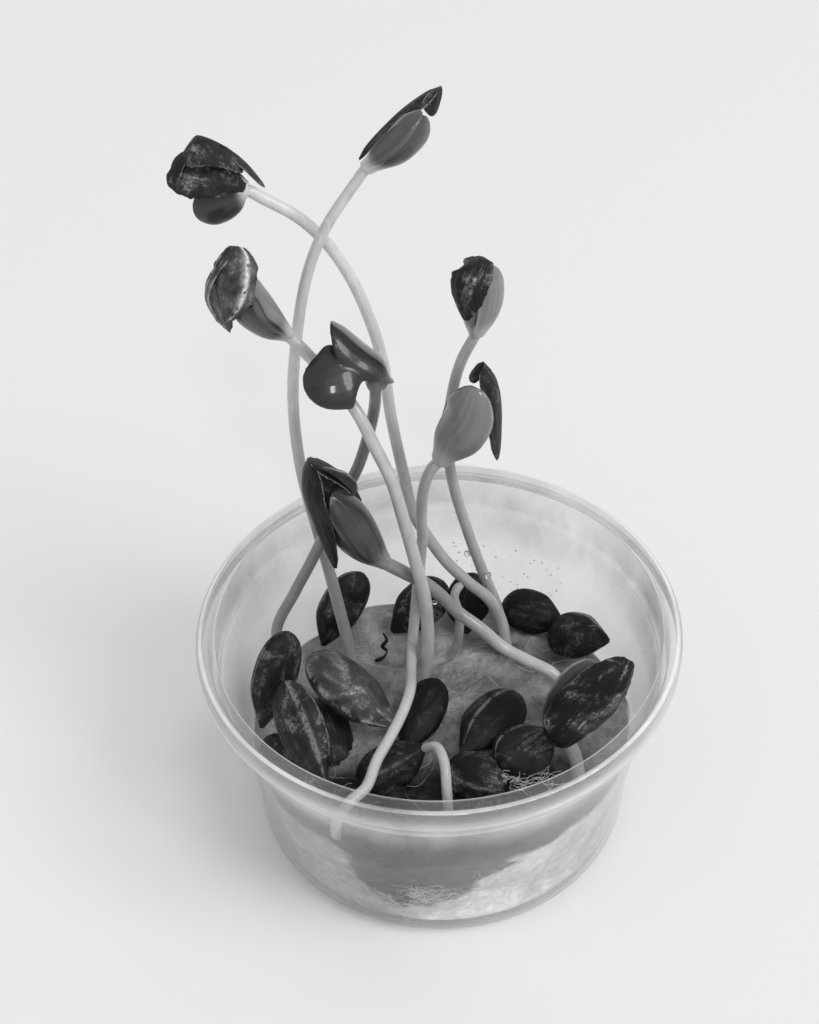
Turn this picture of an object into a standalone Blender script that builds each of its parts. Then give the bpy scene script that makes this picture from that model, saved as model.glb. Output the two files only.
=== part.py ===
"""Sunflower sprouts growing on wet cotton wool in a small round clear cup.

The script's lengths are in millimetres and become metres when a mesh is made. The origin is the
centre of the cup's underside, +Z is up and -Y is the front. Every leaf, stem, seed and seed coat is
a loft: a row of closed sections along a smooth line. Neighbouring solids stay GAP apart.
"""
from math import copysign, cos, pi, radians, sin, sqrt

import bmesh
import bpy
from mathutils import Vector

MM = 0.001
GAP = 0.3

# Cup
RIM_HEIGHT = 40.0
RIM_RADIUS = 37.5
BAND_RADIUS = 34.5
BEAD_DROP = 3.7
STEP_HEIGHT = 32.0
CORNER_RADIUS = 3.0
WALL = 0.7
# The slanting wall's outside, as heights and radii.
WALL_LINE = ((3.0, 30.1), (11.0, 30.7), (19.0, 31.8), (25.5, 33.2), (STEP_HEIGHT, 34.6))
CUP_SEGMENTS = 44

# Cotton wool
COTTON_FLOOR = 1.1
COTTON_MIDDLE = 17.0
COTTON_SLOPE = 0.08
COTTON_BUMP = 0.9
COTTON_RINGS = 8
COTTON_SEGMENTS = 44

# Sprouts
STEM_SIDES = 8
STEM_STEP = 3.6
LEAF_SIDES = 10
LEAF_THICKNESS = 1.2
COAT_THICKNESS = 0.7
SEED_SIDES = 8

# How far along a blade and how wide it is there, as a share of its half width.
LEAF_OUTLINE = (
    (0, 0.36), (0.1, 0.46), (0.24, 0.75), (0.4, 0.94), (0.56, 1), (0.73, 0.95), (0.87, 0.74), (0.96, 0.46), (1, 0.2))
COAT_OUTLINE = (
    (0, 0.3), (0.06, 0.6), (0.18, 0.87), (0.38, 1), (0.58, 0.93), (0.78, 0.68), (0.93, 0.36), (1, 0.15))
SEED_OUTLINE = (
    (0, 0.14), (0.07, 0.38), (0.2, 0.7), (0.38, 0.94), (0.56, 1), (0.74, 0.94), (0.88, 0.74), (0.96, 0.46), (1, 0.18))

# A stem is its radius at the root and at the top, and the points that it passes through.
STEMS = {
    "sprout_1": (1.05, 0.82, [
        (-14.6, 12.5, 14.5), (-14.7, 13.5, 19.4), (-16.3, 16, 29.6), (-18.2, 18.5, 40.1),
        (-20.6, 21.5, 53.5), (-21, 23.5, 66), (-19.5, 24.5, 78.2), (-17.3, 25, 88.3),
        (-14.2, 25, 96.1), (-8, 25.5, 105.5)]),
    "sprout_2": (1, 0.92, [
        (12, 14.5, 13.9), (11.6, 14.9, 18.5), (10.8, 16.6, 22.8), (8.7, 17.2, 27.2), (5.4, 17.9, 30.5),
        (1.9, 19.2, 34.2), (-1.1, 20.9, 38.6), (-3.1, 22.2, 42.4), (-4.6, 24.5, 49.9),
        (-6.1, 26.1, 60), (-6.9, 27.1, 69.3), (-8.2, 27.7, 75.9), (-10.9, 28.3, 84.4),
        (-14.3, 28.5, 91.1), (-18.4, 28.5, 96), (-23.2, 28.5, 99.4), (-25.2, 28.5, 100.9)]),
    "sprout_3": (1.1, 0.95, [
        (-4.1, 5.5, 13.7), (-2.8, 6, 20.8), (-1.7, 6.2, 27.1), (-1.6, 6.7, 32.4), (-1.9, 6.9, 38.3),
        (-3.2, 7.7, 45.8), (-4.7, 8.7, 53.4), (-6.3, 9.8, 60.8), (-8.7, 11.2, 66.8), (-10.6, 13, 70.8),
        (-13, 15.5, 73.7), (-16.8, 19, 76.5), (-19.2, 20.2, 79), (-20.7, 21, 80.4)]),
    "sprout_4": (0.95, 0.92, [
        (-25.8, 12.9, 16.5), (-26.5, 13.8, 25.1), (-23, 14.2, 33.2), (-19.9, 14, 40.1),
        (-16.8, 14, 47.3), (-13.3, 15.2, 54.6), (-11.2, 15.8, 59.1), (-9.2, 16, 66),
        (-8.3, 15.2, 71.1), (-8, 13.9, 75.7)]),
    "sprout_5": (0.95, 0.88, [
        (12.4, 18.8, 10), (11.9, 19, 14.8), (10.1, 20.5, 23.1), (8.1, 21, 29.5), (5.6, 22, 38.3),
        (3.3, 22.9, 48.7), (2.7, 23.6, 57.6), (3.5, 24.1, 65.2), (5, 24.5, 71.4), (7.3, 25, 76.1)]),
    "sprout_6": (1, 1.1, [
        (21.5, 0.5, 17), (18.5, 2.5, 23.9), (14.6, 4.5, 25.2), (10.9, 6.5, 26.2), (6.9, 8, 29.7),
        (3.4, 9.3, 32.3), (0.4, 10.1, 35.9), (-2, 10.2, 38.5), (-4.8, 8.8, 42.1), (-7.9, 7.2, 46.1)]),
    "sprout_7": (0.88, 0.92, [
        (-17.8, -22.9, 11.2), (-17, -23.4, 16.5), (-16.6, -24, 22.1), (-14.5, -22.9, 25.5),
        (-12, -20.4, 25.7), (-10.2, -15.5, 26.2), (-7.9, -11.1, 26.8), (-6, -6.8, 27.2),
        (-4.8, -2.9, 27.5), (-4.5, 3.2, 25.9), (-4.2, 8.6, 25.8), (-3.6, 11.2, 29.4), (-3, 12.6, 34.4),
        (-2.4, 13.8, 39.5), (-1.9, 14.2, 44.8), (-1.9, 14.3, 49.9), (-1.3, 14, 55.6), (0, 14, 59.3),
        (1.1, 14, 60.5)]),
    "sprout_8": (1.1, 1.2, [
        (20.7, -15.5, 13.5), (21, -14.5, 18), (20.5, -12.5, 21.5), (19, -10.8, 24.2)]),
    "young_root_1": (0.85, 0.8, [
        (0.3, -22, 16), (0.3, -22, 21.5), (0.2, -20.5, 26), (0, -18, 28), (-1, -14.8, 27.8),
        (-3, -13, 25.5)]),
    "young_root_2": (0.78, 0.75, [
        (-2.8, 9.5, 15.4), (-0.6, 10.5, 19.1), (1.5, 11, 19.6), (3, 11.3, 22), (3.7, 12, 25.3),
        (3.6, 13, 28.7), (3, 14, 31), (3.6, 15, 32.1), (4.3, 15.6, 32.1)]),
}

# A leaf is its half width, its bend across in degrees, how narrow its neck is (1 is plain), the
# side that its back faces, and the points along the middle of its back.
LEAVES = {
    "sprout_1": [
        (2.6, 42, 1, (-0.54, -0.05, 0.84), [
            (-6.2, 24.7, 108.5), (-4.1, 24.6, 111), (-2, 25, 113), (-0, 26, 113.9)]),
        (3.2, 42, 1, (0.54, -0.84, 0.06), [
            (-5.7, 24.8, 107.1), (-2.8, 24.6, 108.9), (-0.7, 25, 111), (0.4, 26.2, 113.1)])],
    "sprout_2": [
        (3.4, 40, 1.8, (-0.14, -0.99, -0.04), [
            (-27, 27, 100.1), (-30.3, 26, 99.4), (-32.8, 26, 98.7)]),
        (3.2, 40, 1, (0.03, 0.98, 0.2), [
            (-27.4, 28.6, 102), (-31.3, 28, 102.5)])],
    "sprout_3": [
        (3.9, 45, 1, (0.69, 0.19, 0.7), [
            (-22, 21.2, 84.1), (-24.1, 22.2, 87.7), (-25.7, 22.5, 90.6)]),
        (3.6, 45, 1, (-0.23, -0.89, -0.38), [
            (-22.9, 19.8, 81.7), (-25.6, 19.8, 83.8), (-26.9, 20.3, 86.6)])],
    "sprout_4": [
        (4.9, 22, 16, (0.11, -0.58, 0.81), [
            (-9, 12.6, 79.1), (-11.5, 10.8, 80.9), (-14.8, 9.6, 80.8), (-18.3, 9.8, 79.9)]),
        (3.9, 66, 1, (0.39, 0.14, 0.91), [
            (-6.9, 14, 79), (-10, 14.8, 82.3), (-14, 15.8, 86.1)])],
    "sprout_5": [
        (3.5, 40, 1, (0.59, -0.67, 0.45), [
            (8.5, 24.6, 78.6), (9.5, 24.6, 82.2), (9.5, 24.8, 85.5), (8.7, 25, 87.7)]),
        (3, 45, 1, (-0.95, -0.2, 0.23), [
            (6.1, 25, 79.2), (6, 25.2, 82.3), (6.6, 25.2, 85.4), (7.6, 25, 87.5)])],
    "sprout_6": [
        (4.1, 46, 1, (0.77, -0.29, 0.57), [
            (-9.1, 6, 51.7), (-11.1, 5.8, 56.6), (-13.6, 5.8, 59.7), (-15.3, 6, 62.1)]),
        (4.1, 42, 1, (-0.73, -0.66, 0.17), [
            (-11.5, 6, 48.9), (-14.2, 5.8, 52.6), (-15.2, 6, 57.9), (-15.5, 6.2, 61.9)])],
    "sprout_7": [
        (4.2, 42, 1, (-0.25, -0.63, 0.73), [
            (2.4, 13, 64.8), (4.8, 12, 70.2), (5.9, 12.6, 73.3), (6.4, 13.6, 75.1)]),
        (3.5, 42, 1, (0.2, 0.69, -0.66), [
            (3.2, 17.2, 61.6), (5.2, 18, 65), (6.3, 17.6, 69.6), (6.6, 16.8, 72.5)])],
    "sprout_8": [
        (4.3, 35, 1, (-0.44, 0.81, -0.38), [
            (17.8, -8.5, 26.1), (20.3, -6.5, 31.2), (23.7, -5, 35.3)]),
        (3.9, 35, 1, (0.35, -0.82, 0.46), [
            (20.1, -10.5, 27.4), (24, -9, 32.9), (27.4, -7.5, 36.7)])],
}

# The split coats on the leaf tips, each half as a leaf's numbers without a neck, from its blunt
# end to its pointed end.
COATS = {
    "seed_coat_1": [
        (3.2, 40, (-0.7, 0.34, 0.63), [
            (2.5, 30.4, 114.7), (0.4, 31.2, 113.1), (-2.5, 31, 111.1), (-5.2, 30.4, 108.8),
            (-7.6, 29.4, 106.6), (-8.9, 28.2, 105.3)]),
        (2.4, 40, (0.85, -0.53, 0.03), [
            (2.5, 30.3, 114.7), (2.2, 30.2, 112.7), (1.7, 30, 110.7)])],
    "seed_coat_2": [
        (3.5, 40, (-0.18, -0.14, 0.97), [
            (-33.4, 25.3, 108.4), (-30.7, 25.6, 110.3), (-27.7, 26.8, 108.6), (-25.5, 28, 104.4)]),
        (2.7, 35, (-0.11, -0.85, 0.51), [
            (-35.8, 24.5, 105.4), (-32.4, 23.5, 106.2), (-28.4, 24.3, 105.1), (-25.2, 26.3, 102.5)]),
        (1.6, 30, (-0.8, -0.3, 0.5), [
            (-35.1, 24.4, 105.1), (-34.3, 25, 107.5), (-32.5, 25.5, 109.2)]),
        (1.6, 30, (0.78, 0.34, 0.53), [
            (-27.8, 26.8, 109.1), (-25.2, 28.8, 104.9), (-22.9, 31, 99.7)])],
    "seed_coat_3": [
        (3.5, 42, (-0.35, -0.74, 0.57), [
            (-26.7, 20, 97), (-27.9, 16.5, 93.1), (-29.2, 16.9, 86.5)]),
        (3.3, 42, (-0.95, 0.26, -0.19), [
            (-27.1, 21, 96.2), (-31.4, 20.5, 90), (-29, 20.5, 82)])],
    "seed_coat_5": [
        (3.3, 46, (-0.5, -0.55, 0.67), [
            (7.7, 26.3, 89.3), (6.2, 22.8, 89.3), (5.3, 21.3, 86.5), (5.5, 21.1, 81.7)]),
        (2.4, 40, (0.22, 0.89, -0.41), [
            (7.7, 26.5, 89), (8.5, 30.4, 85.4), (9.1, 32.3, 81.7), (9.1, 32.4, 78.8)])],
    "seed_coat_6": [
        (3.8, 46, (-0.92, -0.4, 0.01), [
            (-18.1, 7.4, 66.7), (-19.1, 7.6, 61.3), (-17.9, 7, 54.6), (-15.8, 6.4, 46.4)]),
        (2.4, 18, (0.63, 0.21, 0.75), [
            (-17.9, 7.8, 66.4), (-15.2, 11, 62.1), (-12.7, 11.7, 58.5), (-11.1, 11.4, 55.6)])],
    "seed_coat_7": [
        (3.6, 40, (0.98, -0.18, -0.03), [
            (7.9, 17, 75.9), (9.8, 17.2, 71.8), (10.5, 17.6, 66), (10.4, 18.6, 56.9)]),
        (1.8, 40, (-0.92, 0.18, 0.36), [
            (7.9, 17, 75.8), (6.9, 17.6, 75), (6, 18.4, 73)])],
    "seed_coat_8": [
        (5, 42, (0.35, -0.82, 0.46), [
            (18.3, -13.6, 25), (20.3, -13.4, 29.4), (24.2, -12.2, 35.3), (28.3, -9.8, 40.3)])],
}

# A whole seed is its half width, its thickness, the way its flat side faces, its pointed end and
# its blunt end.
SEEDS = [
    (4.1, 4.8, (0.5, -0.6, 0.3), (-28.8, -3.3, 20.5), (-23.9, 4.8, 34)),
    (4.2, 4.8, (-0.5, -0.5, 0.6), (-18.3, -16.4, 22), (-24.4, -3.1, 31)),
    (4.3, 4.9, (0.2, -0.4, 0.9), (-7.3, -4.6, 21), (-20.7, 5, 28.2)),
    (4, 4.6, (0.3, -0.9, 0.2), (-19.4, 18.4, 16), (-12.2, 24, 27.5)),
    (4, 4.6, (0, -0.8, 0.5), (-7.6, 20, 17), (2, 26.2, 22)),
    (3.6, 4.4, (-0.2, -0.6, 0.7), (-6, -8.6, 19.5), (-0.2, 3.9, 22.3)),
    (3.8, 4.6, (0, -0.5, 0.85), (-2.7, -9.6, 22), (-13.4, -14.4, 19.5)),
    (4.3, 4.8, (0, -0.3, 0.95), (2.9, -11.6, 22.5), (12.6, 0.7, 21.5)),
    (4.4, 4.4, (0, -0.3, 0.95), (17.6, -7.9, 22.6), (8.3, -15.1, 23.6)),
    (3.8, 4.6, (0, -0.9, 0.4), (5.2, 20.9, 15), (6.8, 24.3, 26)),
    (3.8, 4.6, (0, -0.6, 0.8), (21.7, 19.2, 18.4), (11.8, 24.3, 19)),
    (4.1, 4.6, (0.1, -0.5, 0.85), (28.4, 11.1, 22.2), (19.1, 16.7, 19.5)),
    (3.8, 4.4, (-0.5, -0.5, 0.7), (-21.3, -15.6, 18.2), (-28.2, -5.6, 20.4)),
    (4, 4.6, (0.5, -0.5, 0.7), (-16.3, -10.9, 15.5), (-19.8, 1.7, 21.5)),
    (3.9, 4.6, (0, -0.6, 0.8), (9, -19.1, 22.4), (0.6, -14, 22.4)),
    (3.9, 4.6, (0.3, -0.6, 0.7), (20, -17.3, 16.5), (12.6, -22.3, 20.5)),
    (4, 4.6, (-0.3, -0.95, 0.1), (-10.2, -26.2, 15), (-9, -25.2, 28)),
    (4, 4.6, (0, -0.99, 0.1), (-1.6, -27.8, 14.5), (-0.6, -27.4, 25.5)),
    (4, 4.6, (0.2, -0.95, 0.1), (7.6, -26.8, 16), (7.4, -25.2, 29)),
]


def smooth_line(points, step):
    """Points about step apart on a centripetal Catmull-Rom curve through the given points."""
    points = [Vector(point) for point in points]
    ends = [points[0] * 2 - points[1]] + points + [points[-1] * 2 - points[-2]]
    line = []
    for p0, p1, p2, p3 in zip(ends, ends[1:], ends[2:], ends[3:]):
        t1 = sqrt((p1 - p0).length)
        t2 = t1 + sqrt((p2 - p1).length)
        t3 = t2 + sqrt((p3 - p2).length)
        count = max(1, round((p2 - p1).length / step))
        for k in range(count):
            t = t1 + (t2 - t1) * k / count
            a1 = p0.lerp(p1, t / t1)
            a2 = p1.lerp(p2, (t - t1) / (t2 - t1))
            a3 = p2.lerp(p3, (t - t2) / (t3 - t2))
            b1 = a1.lerp(a2, t / t2)
            b2 = a2.lerp(a3, (t - t1) / (t3 - t1))
            line.append(b1.lerp(b2, (t - t1) / (t2 - t1)))
    return line + [points[-1]]


def stations(line, fractions):
    """The points at these fractions of the line's length."""
    travelled = [0.0]
    for a, b in zip(line, line[1:]):
        travelled.append(travelled[-1] + (b - a).length)
    found = []
    for fraction in fractions:
        goal = fraction * travelled[-1]
        k = next(i for i in range(1, len(line)) if travelled[i] >= goal - 1e-6)
        share = (goal - travelled[k - 1]) / (travelled[k] - travelled[k - 1])
        found.append(line[k - 1].lerp(line[k], share))
    return found


def tangents(line):
    ends = [line[0] * 2 - line[1]] + line + [line[-1] * 2 - line[-2]]
    return [(after - before).normalized() for before, after in zip(ends, ends[2:])]


def section(half_width, thickness, bend, sides, square):
    """A closed outline with its back at the origin: an oval, bent round an arc if bend isn't 0."""
    outline = []
    for i in range(sides):
        u, v = cos(2 * pi * i / sides), sin(2 * pi * i / sides)
        lift = thickness / 2 * copysign(abs(v) ** square, v)
        if bend == 0:
            outline.append((half_width * u, lift))
        else:
            radius = half_width / sin(bend)
            outline.append(((radius + lift) * sin(bend * u), (radius + lift) * cos(bend * u) - radius))
    return outline


def loft(rings):
    """A closed mesh through the rings, whose upper and lower halves are split alike."""
    sides = len(rings[0])
    verts = [point for ring in rings for point in ring]
    faces = []
    for j in range(len(rings) - 1):
        for i in range(sides):
            a, b = j * sides + i, j * sides + (i + 1) % sides
            c, d = b + sides, a + sides
            if i < sides // 2:
                faces += [(a, b, c), (a, c, d)]
            else:
                faces += [(a, b, d), (b, c, d)]
    for ring, start in ((rings[0], 0), (rings[-1], len(verts) - sides)):
        middle = len(verts)
        verts.append(sum(ring, Vector()) / sides)
        faces += [(middle, start + i, start + (i + 1) % sides) for i in range(sides)]
    return verts, faces


def stem_rings(line, radii):
    """Round rings along the line, with no twist between them."""
    along = tangents(line)
    side = along[0].orthogonal().normalized()
    rings = []
    for point, tangent, radius in zip(line, along, radii):
        side = (side - tangent * side.dot(tangent)).normalized()
        up = tangent.cross(side)
        outline = section(radius, 2 * radius, 0, STEM_SIDES, 1)
        rings.append([point + side * x + up * y for x, y in outline])
    return rings


def blade_rings(line, back, widths, thicknesses, bends, sides, square):
    """Bent oval rings along the line, whose backs face the given way."""
    back = Vector(back)
    rings = []
    for point, tangent, width, thickness, bend in zip(line, tangents(line), widths, thicknesses, bends):
        up = (back - tangent * back.dot(tangent)).normalized()
        side = up.cross(tangent)
        outline = section(width, thickness, bend, sides, square)
        rings.append([point + side * x + up * y for x, y in outline])
    return rings


def leaf_mesh(half_width, bend, neck, back, points, stem_top):
    """A seed leaf: a narrow stalk on the stem's top that widens to an oval blade with a round tip."""
    fractions, shares = zip(*LEAF_OUTLINE)
    shares = [max(0.25, share ** neck) if t < 0.5 else share for t, share in zip(fractions, shares)]
    start = Vector(stem_top).lerp(Vector(points[0]), 0.05)
    line = stations(smooth_line([start] + points, 0.5), fractions)
    widths = [half_width * share for share in shares]
    thicknesses = [LEAF_THICKNESS + 0.9 * (1 - t) ** 4 for t in fractions]
    bends = [radians(bend) * share for share in shares]
    return loft(blade_rings(line, back, widths, thicknesses, bends, LEAF_SIDES, 0.75))


def coat_mesh(half_width, bend, back, points):
    """Half of a split seed coat: a thin boat, blunt at its first end and pointed at its last."""
    fractions, shares = zip(*COAT_OUTLINE)
    line = stations(smooth_line(points, 0.5), fractions)
    widths = [half_width * share for share in shares]
    thicknesses = [COAT_THICKNESS] * len(fractions)
    bends = [radians(bend)] * len(fractions)
    return loft(blade_rings(line, back, widths, thicknesses, bends, LEAF_SIDES, 0.4))


def seed_mesh(half_width, thickness, face, pointed, blunt, grow=0.0):
    """A whole seed, a pointed oval with sharp sides, or the same seed with every side moved out."""
    fractions, shares = zip(*SEED_OUTLINE)
    start, end = Vector(pointed), Vector(blunt)
    out = (end - start).normalized() * grow
    line = [(start - out).lerp(end + out, t) for t in fractions]
    widths = [half_width * share + grow for share in shares]
    thicknesses = [thickness * share + 2 * grow for share in shares]
    bends = [0] * len(fractions)
    return loft(blade_rings(line, face, widths, thicknesses, bends, SEED_SIDES, 0.85))


def stem_mesh(root_radius, top_radius, points, grow=0.0):
    line = smooth_line(points, STEM_STEP)
    last = len(line) - 1
    radii = [root_radius + (top_radius - root_radius) * k / last + grow for k in range(len(line))]
    radii[0] *= 0.7
    return loft(stem_rings(line, radii))


def material(name, colour, roughness, alpha=1.0):
    surface = bpy.data.materials.new(name)
    surface.use_nodes = True
    shader = surface.node_tree.nodes["Principled BSDF"]
    shader.inputs["Base Color"].default_value = (colour, colour, colour, 1)
    shader.inputs["Roughness"].default_value = roughness
    shader.inputs["Alpha"].default_value = alpha
    return surface


def add_object(name, verts, faces, surface):
    """A closed mesh object in metres, with its faces pointing out and its round parts smooth."""
    mesh = bpy.data.meshes.new(name)
    mesh.from_pydata([Vector(vert) * MM for vert in verts], [], faces)
    work = bmesh.new()
    work.from_mesh(mesh)
    bmesh.ops.recalc_face_normals(work, faces=work.faces)
    work.to_mesh(mesh)
    work.free()
    mesh.shade_smooth()
    mesh.set_sharp_from_angle(angle=radians(50))
    mesh.materials.append(surface)
    obj = bpy.data.objects.new(name, mesh)
    bpy.context.scene.collection.objects.link(obj)
    return obj


def apply_modifiers(obj):
    bpy.context.view_layer.update()
    done = bpy.data.meshes.new_from_object(obj.evaluated_get(bpy.context.evaluated_depsgraph_get()))
    obj.modifiers.clear()
    obj.data = done


def join_solids(obj, others, operation):
    """Adds the other objects to obj, or cuts them from it, and removes them."""
    group = bpy.data.collections.new("join")
    bpy.context.scene.collection.children.link(group)
    for other in others:
        group.objects.link(other)
    boolean = obj.modifiers.new("join", "BOOLEAN")
    boolean.operand_type = "COLLECTION"
    boolean.collection = group
    boolean.operation = operation
    boolean.solver = "MANIFOLD"
    apply_modifiers(obj)
    for other in others:
        bpy.data.objects.remove(other)
    bpy.data.collections.remove(group)


def keep_largest_island(obj):
    """Drops the loose scraps that a cut leaves."""
    work = bmesh.new()
    work.from_mesh(obj.data)
    left = set(work.verts)
    islands = []
    while left:
        front = [left.pop()]
        island = list(front)
        while front:
            near = {edge.other_vert(vert) for vert in front for edge in vert.link_edges} & left
            left -= near
            island += near
            front = list(near)
        islands.append(island)
    islands.sort(key=len)
    scraps = [vert for island in islands[:-1] for vert in island]
    bmesh.ops.delete(work, geom=scraps, context="VERTS")
    work.to_mesh(obj.data)
    work.free()


def arc(centre_r, centre_z, radius, start, end, count):
    """Points on an arc of the turned profile, with its angles in degrees from the radial way."""
    angles = [radians(start + (end - start) * k / count) for k in range(count + 1)]
    return [(centre_r + radius * cos(a), centre_z + radius * sin(a)) for a in angles]


def build_cup(surface):
    """A thin turned cup: a flat floor, a slanting wall, a stacking step and a rolled rim."""
    rim_round = 1.1
    outside = RIM_RADIUS - rim_round
    floor_arc = WALL_LINE[0][1] - CORNER_RADIUS
    recess = BAND_RADIUS + WALL + 0.3
    profile = [(0, 0)]
    profile += arc(floor_arc, CORNER_RADIUS, CORNER_RADIUS, -90, 0, 3)
    profile += [(radius, height) for height, radius in WALL_LINE[1:]]
    profile += [(recess, STEP_HEIGHT + 0.5), (recess, RIM_HEIGHT - 1.5)]
    profile += [(RIM_RADIUS - WALL, RIM_HEIGHT - 1.5)]
    profile += [(RIM_RADIUS - WALL, RIM_HEIGHT - BEAD_DROP), (RIM_RADIUS, RIM_HEIGHT - BEAD_DROP)]
    profile += arc(outside, RIM_HEIGHT - rim_round, rim_round, 0, 90, 3)
    profile += [(BAND_RADIUS, RIM_HEIGHT), (BAND_RADIUS + 0.3, STEP_HEIGHT + 1.2)]
    profile += [(radius - WALL, height) for height, radius in reversed(WALL_LINE[1:])]
    profile += reversed(arc(floor_arc, CORNER_RADIUS, CORNER_RADIUS - WALL, -90, 0, 3))
    profile += [(0, WALL)]
    return turned("cup", profile, CUP_SEGMENTS, surface)


def turned(name, profile, segments, surface):
    """A solid turned round Z, from a profile that starts and ends on the axis."""
    verts = [(0, 0, profile[0][1]), (0, 0, profile[-1][1])]
    rows = profile[1:-1]
    for r, z in rows:
        verts += [(r * cos(2 * pi * k / segments), r * sin(2 * pi * k / segments), z) for k in range(segments)]
    faces = []
    last = 2 + (len(rows) - 1) * segments
    for k in range(segments):
        after = (k + 1) % segments
        faces += [(0, 2 + after, 2 + k), (1, last + k, last + after)]
        for row in range(len(rows) - 1):
            low = 2 + row * segments
            faces.append((low + k, low + after, low + segments + after, low + segments + k))
    return add_object(name, verts, faces, surface)


def wall_radius(z):
    """The inside of the cup's slanting wall at height z."""
    for (low, inner), (high, outer) in zip(WALL_LINE, WALL_LINE[1:]):
        if z <= high:
            break
    return inner + (outer - inner) * (z - low) / (high - low) - WALL


def cotton_height(x, y):
    bumps = sin(0.23 * x + 1.0) * cos(0.19 * y - 0.6) + 0.5 * sin(0.41 * y + 0.27 * x)
    return COTTON_MIDDLE - COTTON_SLOPE * y + COTTON_BUMP * bumps


def build_cotton(surface):
    """A pad that fills the cup's lower part, with a lumpy top that is higher at the front."""
    rows = [[(x, y, COTTON_FLOOR) for x, y in circle(WALL_LINE[0][1] - CORNER_RADIUS)]]
    for z in (3.4, 9.0):
        rows.append([(x, y, z) for x, y in circle(wall_radius(z) - GAP - 0.05)])
    for ring in range(COTTON_RINGS, 0, -1):
        row = []
        for x, y in circle(1.0):
            edge = wall_radius(cotton_height(30 * x, 30 * y)) - GAP - 0.05
            r = edge * ring / COTTON_RINGS
            row.append((r * x, r * y, cotton_height(r * x, r * y)))
        rows.append(row)
    verts = [vert for row in rows for vert in row]
    verts += [(0, 0, COTTON_FLOOR), (0, 0, cotton_height(0, 0))]
    bottom, top = len(verts) - 2, len(verts) - 1
    last = (len(rows) - 1) * COTTON_SEGMENTS
    faces = []
    for k in range(COTTON_SEGMENTS):
        after = (k + 1) % COTTON_SEGMENTS
        faces += [(bottom, after, k), (top, last + k, last + after)]
        for row in range(len(rows) - 1):
            low, high = row * COTTON_SEGMENTS, (row + 1) * COTTON_SEGMENTS
            faces += [(low + k, low + after, high + after), (low + k, high + after, high + k)]
    return add_object("cotton_wool", verts, faces, surface)


def circle(radius):
    angles = [2 * pi * k / COTTON_SEGMENTS for k in range(COTTON_SEGMENTS)]
    return [(radius * cos(a), radius * sin(a)) for a in angles]


def cut_holes(cotton, surface):
    """Makes room in the cotton for the roots and the seeds that are pressed into it."""
    cutters = []
    for number, (root_radius, _, points) in enumerate(STEMS.values()):
        near = [point for point in points[:4] if point[2] < 26]
        start = Vector(near[0])
        deeper = start + (start - Vector(near[1])).normalized() * GAP
        way = smooth_line([deeper] + near[1:], 3.0)
        radius = root_radius + GAP
        verts, faces = loft(stem_rings(way, [radius] * len(way)))
        cutters.append(add_object(f"hole_{number}", verts, faces, surface))
    for number, seed in enumerate(SEEDS):
        verts, faces = seed_mesh(*seed, grow=GAP)
        cutters.append(add_object(f"dent_{number}", verts, faces, surface))
    join_solids(cotton, cutters, "DIFFERENCE")
    keep_largest_island(cotton)


def main():
    for obj in list(bpy.data.objects):
        bpy.data.objects.remove(obj)
    clear = material("clear_plastic", 0.75, 0.2, alpha=0.35)
    wool = material("wet_cotton", 0.55, 0.7)
    green = material("sprout_flesh", 0.5, 0.35)
    black = material("seed_coat", 0.04, 0.5)
    build_cup(clear)
    cotton = build_cotton(wool)
    cut_holes(cotton, wool)
    for name, stem in STEMS.items():
        sprout = add_object(name, *stem_mesh(*stem), green)
        top = stem[2][-1]
        leaves = [add_object("leaf", *leaf_mesh(*leaf, top), green) for leaf in LEAVES.get(name, [])]
        if leaves:
            join_solids(sprout, leaves, "UNION")
    for name, (first, *others) in COATS.items():
        coat = add_object(name, *coat_mesh(*first), black)
        halves = [add_object("half", *coat_mesh(*half), black) for half in others]
        if halves:
            join_solids(coat, halves, "UNION")
    for number, seed in enumerate(SEEDS, start=1):
        add_object(f"seed_{number:02d}", *seed_mesh(*seed), black)


main()
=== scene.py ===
"""Looks of the sunflower sprouts in their clear cup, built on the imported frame.

Lengths are in millimetres in the row frame and become metres when a mesh is made. Every stem, leaf,
seed and seed coat is a loft: a row of closed sections along a smooth line.
"""

from math import atan2, copysign, cos, pi, radians, sin, sqrt
from random import Random

import bmesh
import bpy
import numpy as np
from mathutils import Matrix, Vector, kdtree, noise


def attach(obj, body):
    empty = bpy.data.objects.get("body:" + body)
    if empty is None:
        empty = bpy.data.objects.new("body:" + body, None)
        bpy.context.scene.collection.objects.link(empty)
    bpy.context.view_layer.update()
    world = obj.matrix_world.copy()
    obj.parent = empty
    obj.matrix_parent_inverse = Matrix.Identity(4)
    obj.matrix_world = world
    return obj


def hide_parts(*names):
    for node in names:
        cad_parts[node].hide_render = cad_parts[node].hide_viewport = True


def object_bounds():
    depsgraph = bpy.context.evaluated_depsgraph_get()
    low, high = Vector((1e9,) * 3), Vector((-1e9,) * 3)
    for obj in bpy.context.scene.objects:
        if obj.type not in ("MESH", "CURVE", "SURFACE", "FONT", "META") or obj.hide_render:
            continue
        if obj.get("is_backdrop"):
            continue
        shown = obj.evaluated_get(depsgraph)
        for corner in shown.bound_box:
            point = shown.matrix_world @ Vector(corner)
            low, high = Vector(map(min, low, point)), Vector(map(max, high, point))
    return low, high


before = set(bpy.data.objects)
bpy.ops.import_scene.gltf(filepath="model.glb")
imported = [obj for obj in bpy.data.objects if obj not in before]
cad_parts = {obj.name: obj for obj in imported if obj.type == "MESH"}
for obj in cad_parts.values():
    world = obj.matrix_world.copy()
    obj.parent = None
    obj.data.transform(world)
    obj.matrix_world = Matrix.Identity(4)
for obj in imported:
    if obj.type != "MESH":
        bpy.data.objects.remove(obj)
cad_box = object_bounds()

MM = 0.001

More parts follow.
